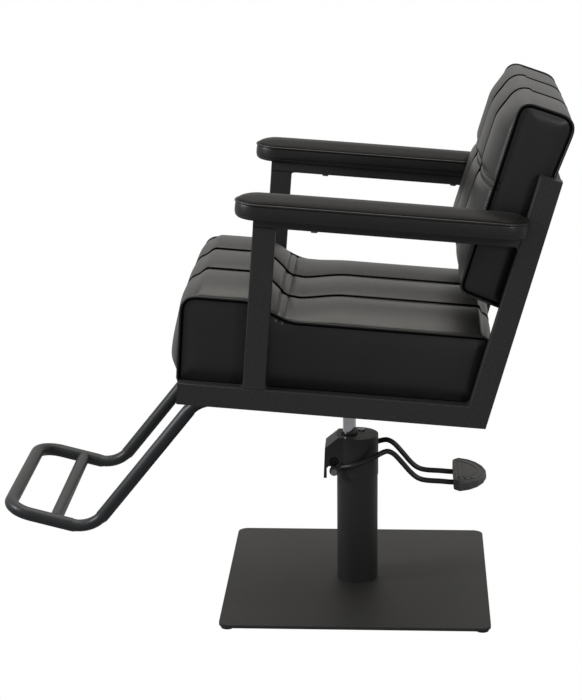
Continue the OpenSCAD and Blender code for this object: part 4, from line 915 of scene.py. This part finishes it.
def fit_pad(pad, side):
    """Draws the pad in beside the back cushion, and cuts its tip back before the upright."""
    x, a, b = unplaced(SEAT, points_of(pad)).T
    across = x * side
    inner = ease((ARM_X - across) / 34) * ease((a - 172) / 22)
    across = across + NECK * inner
    face = UPRIGHT_FACE + (b - ARM_FOOT) * math.tan(LEAN) - 0.5
    beside = (across > 236) & (across < 265.5)
    a = np.where(beside, np.minimum(a, face), a)
    set_points(pad, placed(SEAT, np.c_[across * side, a, b]))


for side in (1, -1):
    cover = arm_cover(side)
    ring = pad_ring(-0.4, ARM_PIPING) + (ARM_X, 0, 0)
    ring[:, 0] *= side
    name = cover.name.replace("cover", "piping")
    cord = tube_along(name, [placed(SEAT, ring)], 2.0, closed=True)
    fit_pad(cord, side)
    finish(cord, name, "seat", "piping")

# %% [markdown]
# The footrest is one tube, bent in six places. It is drawn as a line first: straight runs between
# round bends, so that the line has the maker's own bending radii. The tube is then laid along it,
# and squeezed a little in the two side bends, as a thin tube is when it is bent.
# %% Footrest
FOOT_W, FOOT_D, BAR_D = 364.0, 25.0, 24.0
LEG, LEG_ANGLE, LOOP, LOOP_ANGLE = 326.5, math.radians(55.7), 160.0, math.radians(9.9)
TUBE_END, BEND_REACH, SIDE_BEND, FRONT_BEND = -74, -284.0, 60, 45
SQUEEZE, BAR_SHARE = 0.88, 0.434
LOW = np.array([BEND_REACH - LEG * math.cos(LEG_ANGLE), -FOOT_D / 2 - LEG * math.sin(LEG_ANGLE)])
TIP = LOW + LOOP * np.array([-math.cos(LOOP_ANGLE), math.sin(LOOP_ANGLE)])


def bend(before, corner, after, radius, steps=14):
    """Points of a circular bend between two straight runs that meet at a corner."""
    before, corner, after = (np.array(p, float) for p in (before, corner, after))
    u = (before - corner) / norm(before - corner)
    w = (after - corner) / norm(after - corner)
    half = math.acos(np.clip(u @ w, -1, 1)) / 2
    centre = corner + (u + w) / norm(u + w) * radius / math.sin(half)
    e = corner + u * radius / math.tan(half) - centre
    f = corner + w * radius / math.tan(half) - centre
    turn = math.pi - 2 * half
    return [centre + (math.sin(turn - t) * e + math.sin(t) * f) / math.sin(turn)
            for t in np.linspace(0, turn, steps)] + [centre]


def footrest_line():
    """The tube's middle line in the seat's directions, and the centres of its side bends."""
    half = FOOT_W / 2
    corners = [(half, TUBE_END, -FOOT_D / 2), (half, BEND_REACH, -FOOT_D / 2), (half, *LOW),
               (half, *TIP), (-half, *TIP)]
    first = bend(*corners[0:3], SIDE_BEND)
    second = bend(*corners[1:4], SIDE_BEND)
    third = bend(*corners[2:5], FRONT_BEND)
    line = [np.array(corners[0], float)] + first[:-1] + second[:-1] + third[:-1]
    mirror = [p * (-1, 1, 1) for p in line[::-1]]
    return np.array(line + mirror), (first, second)


line, side_bends = footrest_line()
tube = tube_along("footrest", [placed(SEAT, line)], FOOT_D / 2, sides=10)
points = unplaced(SEAT, points_of(tube))
for arc in side_bends:
    centre, arc_line = arc[-1][1:], np.array(arc[2:-3])[:, 1:]
    gap = norm(points[:, None, 1:] - arc_line[None], axis=2)
    near_arc = gap.min(axis=1) < FOOT_D / 2 + 0.5
    out = points[:, 1:] - centre
    radius = norm(out, axis=1)
    flat = centre + out / radius[:, None] * (SIDE_BEND + (radius - SIDE_BEND) * SQUEEZE)[:, None]
    points[near_arc, 1:] = flat[near_arc]
set_points(tube, placed(SEAT, points))
finish(tube, "footrest", "seat", "footrest_coat", ["footrest_tube"], 40)

bar_place = LOW + (TIP - LOW) * BAR_SHARE
bar = tube_along("footrest_bar", [placed(SEAT, [[side * (FOOT_W / 2 - 6), *bar_place]
                                              for side in (-1, 1)])], BAR_D / 2, sides=10)
finish(bar, "footrest_bar", "seat", "footrest_coat", ["footrest_cross_bar"], 40)

# %% [markdown]
# The two lever rods are round bars that were bent by hand, so no circle gives their course. Points
# read off the rods' edges are joined by a smooth curve instead. Each rod ends in a flat eye on the
# cross shaft.
# %% Lever rods
ROD_D, PUMP_TOP, PEDAL_REACH, ROD_HALF = 10.0, 300.0, 182.5, 30.0
PIVOT_Y, PIVOT_Z = -43.3, 252.7
SHAFT_Z = PIVOT_Z - 16
ROD_COURSE = np.array([
    (1.215, -0.2, 0.805), (1.215, -0.152, 0.813), (1.4, -0.1, 0.824), (1.54, -0.04, 0.836),
    (1.56, 0.07, 0.862), (1.44, 0.19, 0.896), (1.24, 0.275, 0.917), (1.12, 0.325, 0.919),
    (1.06, 0.385, 0.899), (1.03, 0.46, 0.849), (1, 0.56, 0.777), (1, 0.635, 0.74),
    (1, 0.72, 0.725), (1, 0.87, 0.7195), (1, 0.99, 0.714), (1, 1.15, 0.713)])


def smooth_line(points, steps=6):
    """A Catmull-Rom curve through points."""
    p = np.vstack([2 * points[0] - points[1], points, 2 * points[-1] - points[-2]])
    t = np.linspace(0, 1, steps, endpoint=False)[:, None]
    runs = [0.5 * (2 * b + (c - a) * t + (2 * a - 5 * b + 4 * c - d) * t ** 2
                   + (3 * b - a - 3 * c + d) * t ** 3)
            for a, b, c, d in zip(p[:-3], p[1:-2], p[2:-1], p[3:])]
    return np.vstack([*runs, points[-1:]])


def rod_eye(side, radius=9, length=7.6, reach=36.4):
    """The flat eye of a lever rod on the cross shaft, with softened edges."""
    place = COLUMN @ (Vector((side * reach, PIVOT_Y, SHAFT_Z)) * MM)
    bpy.ops.object.select_all(action="DESELECT")
    bpy.ops.mesh.primitive_cylinder_add(vertices=40, radius=radius * MM, depth=length * MM,
                                        location=place, rotation=(0, math.pi / 2, 0))
    eye = bpy.context.object
    bpy.ops.object.transform_apply(location=True, rotation=True, scale=True)
    modify(eye, "BEVEL", width=0.5 * MM, segments=2, limit_method="ANGLE")
    return eye


for side, name in ((1, "left_lever_rod"), (-1, "right_lever_rod")):
    course = smooth_line(ROD_COURSE * (side * ROD_HALF, PEDAL_REACH, PUMP_TOP))
    rod = tube_along(name, [placed(COLUMN, course)], ROD_D / 2, sides=6)
    eye = rod_eye(side)
    alone(rod)
    eye.select_set(True)
    bpy.ops.object.join()
    finish(rod, "bent_" + name, "lever", "rod_coat", [name], 40)

# %% [markdown]
# The pedal is a half-round casting with a ribbed tread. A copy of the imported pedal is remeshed
# finely, so that its top can be moulded: the skin sinks along two arcs that follow the rim, along
# straight lines near the flat side, and in three small pits at one edge.
# %% Pedal
PEDAL_MID_Y, PEDAL_HALF_W, PEDAL_DEPTH, PEDAL_TOP = PEDAL_REACH + 12, 70.0, 52.0, 230.5


def pedal_tread(x, y):
    """Distance in mm from the nearest groove of the tread."""
    radius = np.hypot(x / PEDAL_HALF_W, (y - PEDAL_MID_Y) / PEDAL_DEPTH)
    arcs = nearest(radius, (0.86, 0.62)) * 55 + 9 * (y < PEDAL_MID_Y - 3)
    lines = nearest(y, (190.0, 198.0)) + 9 * (radius > 0.80)
    return np.minimum(arcs, lines)


pedal = copy_of("pedal")
modify(pedal, "REMESH", mode="VOXEL", voxel_size=1.1 * MM)
modify(pedal, "SMOOTH", factor=0.5, iterations=3)
x, y, z = unplaced(COLUMN, points_of(pedal)).T
upper = z > PEDAL_TOP - 6 - 8 * np.clip((y - PEDAL_MID_Y) / PEDAL_DEPTH, 0, 1)
sink(pedal, np.where(upper, pedal_tread(x, y), 99), 1.3, 0.9)
pits = np.min([np.hypot(x - px, y - py) for px, py in ((53, 191), (52, 203), (47, 216))], axis=0)
sink(pedal, np.where(upper, pits, 99), 3.0, 2.6)
finish(pedal, "ribbed_pedal", "lever", "casting", ["pedal"])

# %% [markdown]
# Where two tubes of the frame meet, the weld fills the inner corner. From the side it shows as a
# small hollow fillet, the full width of the tube. One mesh holds all of them: each is a corner
# point, its two edges and an arc between them, drawn out across the tube.
# %% Weld fillets
RAIL_X, TUBE_T, TUBE_W = 251.5, 25.0, 40.0
FRONT_FACE, REAR_FACE_FOOT, ARM_RAIL_FOOT = -200.5, 233.4, 332.0
BACK_FACE_FOOT = REAR_FACE_FOOT - TUBE_W / math.cos(LEAN)


def fillet(corner, first, second, radius, steps=7):
    """Outline in (a, b) of a hollow fillet between two edges that leave a corner."""
    corner, first, second = (np.array(v, float) for v in (corner, first, second))
    first, second = first / norm(first), second / norm(second)
    arc = rounded(corner + first * 2 * radius, corner, corner + second * 2 * radius, radius, steps)
    back = corner - 0.6 * (first + second)
    return np.vstack([back - 0.6 * second + first * radius, arc, back - 0.6 * first
                      + second * radius, back])


def on_upright(b):
    """A point of the leaning upright's front face at that height."""
    return BACK_FACE_FOOT + b * math.tan(LEAN), b


def weld_fillets():
    lean = (math.sin(LEAN), math.cos(LEAN))
    corners = [
        ((FRONT_FACE, TUBE_W), (-1, 0), (0, 1)), ((FRONT_FACE + TUBE_W, TUBE_W), (1, 0), (0, 1)),
        (on_upright(TUBE_W), (-1, 0), lean),
        ((FRONT_FACE + TUBE_W, ARM_RAIL_FOOT), (1, 0), (0, -1)),
        (on_upright(ARM_RAIL_FOOT), (-1, 0), (-lean[0], -lean[1]))]
    points, faces = [], []
    for side in (-1, 1):
        for corner, first, second in corners:
            outline = fillet(corner, first, second, 7.0)
            n, start = len(outline), len(points)
            for x in (RAIL_X - TUBE_T / 2 + 1.2, RAIL_X + TUBE_T / 2 - 1.2):
                points += [(side * x, *p) for p in outline]
            faces += bands(2, n, start)
            faces += [tuple(range(start, start + n)), tuple(range(start + n, start + 2 * n))]
    piece = mesh_piece("weld_fillets", placed(SEAT, points), faces)
    outward(piece)
    finish(piece, "weld_fillets", "seat", "frame_coat", angle=40)


weld_fillets()

# %% [markdown]
# Plates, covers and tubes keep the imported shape, but real metal never has a perfectly sharp edge:
# a narrow bevel catches a thin line of light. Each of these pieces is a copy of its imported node
# with such a bevel.
# %% Softened copies of the metal parts
def dressed(node, body, width):
    piece = copy_of(node)
    modify(piece, "BEVEL", width=width * MM, segments=2, limit_method="ANGLE",
           angle_limit=math.radians(35))
    finish(piece, "dressed_" + node, body, SLOT_OF[node], [node], 40)
    modify(piece, "WEIGHTED_NORMAL", keep_sharp=True)


for node, width in (("floor_plate", 1.0), ("head_cover", 0.25), ("pump_head", 0.5)):
    dressed(node, "base", width)
for node in ("seat_rail", "front_upright", "arm_rail", "back_upright"):
    for side in ("left", "right"):
        dressed(f"{side}_{node}", "seat", 0.35)

# %% [markdown]
# Everything stands on a plain pale floor, as in a studio for catalogue pictures. It glows by
# itself, so that it is as white as the backdrop and no light or shadow shows on it. The floor
# belongs to the stage and not to the chair.
# %% Floor
def studio():
    bpy.ops.object.select_all(action="DESELECT")
    bpy.ops.mesh.primitive_plane_add(size=60)
    floor = bpy.context.object
    floor.name = "studio_floor"
    pale = Finish("pale_floor", Base_Color=grey(0), Specular_IOR_Level=0, Roughness=0.9,
                  Emission_Strength=1.0)
    pale.feed("Emission Color", pale.blend(pale.noise(3, 2), grey(0.995), grey(1.0)))
    floor.data.materials.append(pale.material)
    floor.visible_diffuse = floor.visible_glossy = False
    bpy.context.scene.view_settings.view_transform = "Standard"


# %% [markdown]
# Black things are seen mostly by what they mirror. In the picture every face that looks up or away
# from the camera is light, and every face that looks at the camera is nearly black. So the sky of
# the scene is bright over and behind the chair and dark on the camera's side. Only the camera
# itself sees a plain white backdrop. Three soft lights, above, at the rear and before the chair,
# draw the lighter streaks on the cushions and tubes.
# %% Sky and lights
BRIGHT_SIDE = Vector((-0.72, 0.05, 0.69)).normalized()


def sky(dark=0.32, bright=0.74):
    world = bpy.context.scene.world or bpy.data.worlds.new("studio")
    bpy.context.scene.world = world
    world.use_nodes = True
    tree = world.node_tree
    tree.nodes.clear()
    add = tree.nodes.new
    way, lobe, shift, ramp, light, backdrop, seen, mix, out = (
        add("ShaderNode" + kind) for kind in (
            "TexCoord", "VectorMath", "Math", "ValToRGB", "Background", "Background",
            "LightPath", "MixShader", "OutputWorld"))
    lobe.operation = "DOT_PRODUCT"
    lobe.inputs[1].default_value = BRIGHT_SIDE
    first, last = ramp.color_ramp.elements
    first.position, first.color = 0.42, (dark, dark, dark * 1.03, 1)
    last.position, last.color = 0.95, (0.84, 0.83, 0.80, 1)
    middle = ramp.color_ramp.elements.new(0.70)
    middle.color = (0.60, 0.60, 0.58, 1)
    shift.operation = "MULTIPLY_ADD"
    shift.inputs[1].default_value = shift.inputs[2].default_value = 0.5
    light.inputs["Strength"].default_value = bright
    backdrop.inputs["Color"].default_value = (1, 1, 1, 1)
    for source, target in (
            (way.outputs["Generated"], lobe.inputs[0]), (lobe.outputs["Value"], shift.inputs[0]),
            (shift.outputs[0], ramp.inputs[0]), (ramp.outputs["Color"], light.inputs["Color"]),
            (seen.outputs["Is Camera Ray"], mix.inputs[0]), (light.outputs[0], mix.inputs[1]),
            (backdrop.outputs[0], mix.inputs[2]), (mix.outputs[0], out.inputs["Surface"])):
        tree.links.new(source, target)


def soft_light(name, place, target, size, power, colour=(1, 1, 1)):
    bpy.ops.object.light_add(type="AREA", location=place)
    light = bpy.context.object
    light.name = name
    light.data.shape = "RECTANGLE"
    light.data.size, light.data.size_y = size
    light.data.energy = power
    light.data.color = colour
    light.visible_camera = False
    light.rotation_euler = (Vector(target) - Vector(place)).to_track_quat("-Z", "Y").to_euler()


studio()
sky()
soft_light("top_light", (-0.6, 0, 3.0), (0, 0, 0), (2.4, 2.4), 38, (1, 0.98, 0.92))
soft_light("rear_light", (2.9, 2.2, 1.9), (0, 0.4, 0.8), (0.5, 0.7), 24, (0.92, 0.96, 1))
soft_light("front_light", (0.9, -3.0, 2.1), (0, -0.1, 0.7), (0.9, 0.9), 60, (0.92, 0.96, 1))
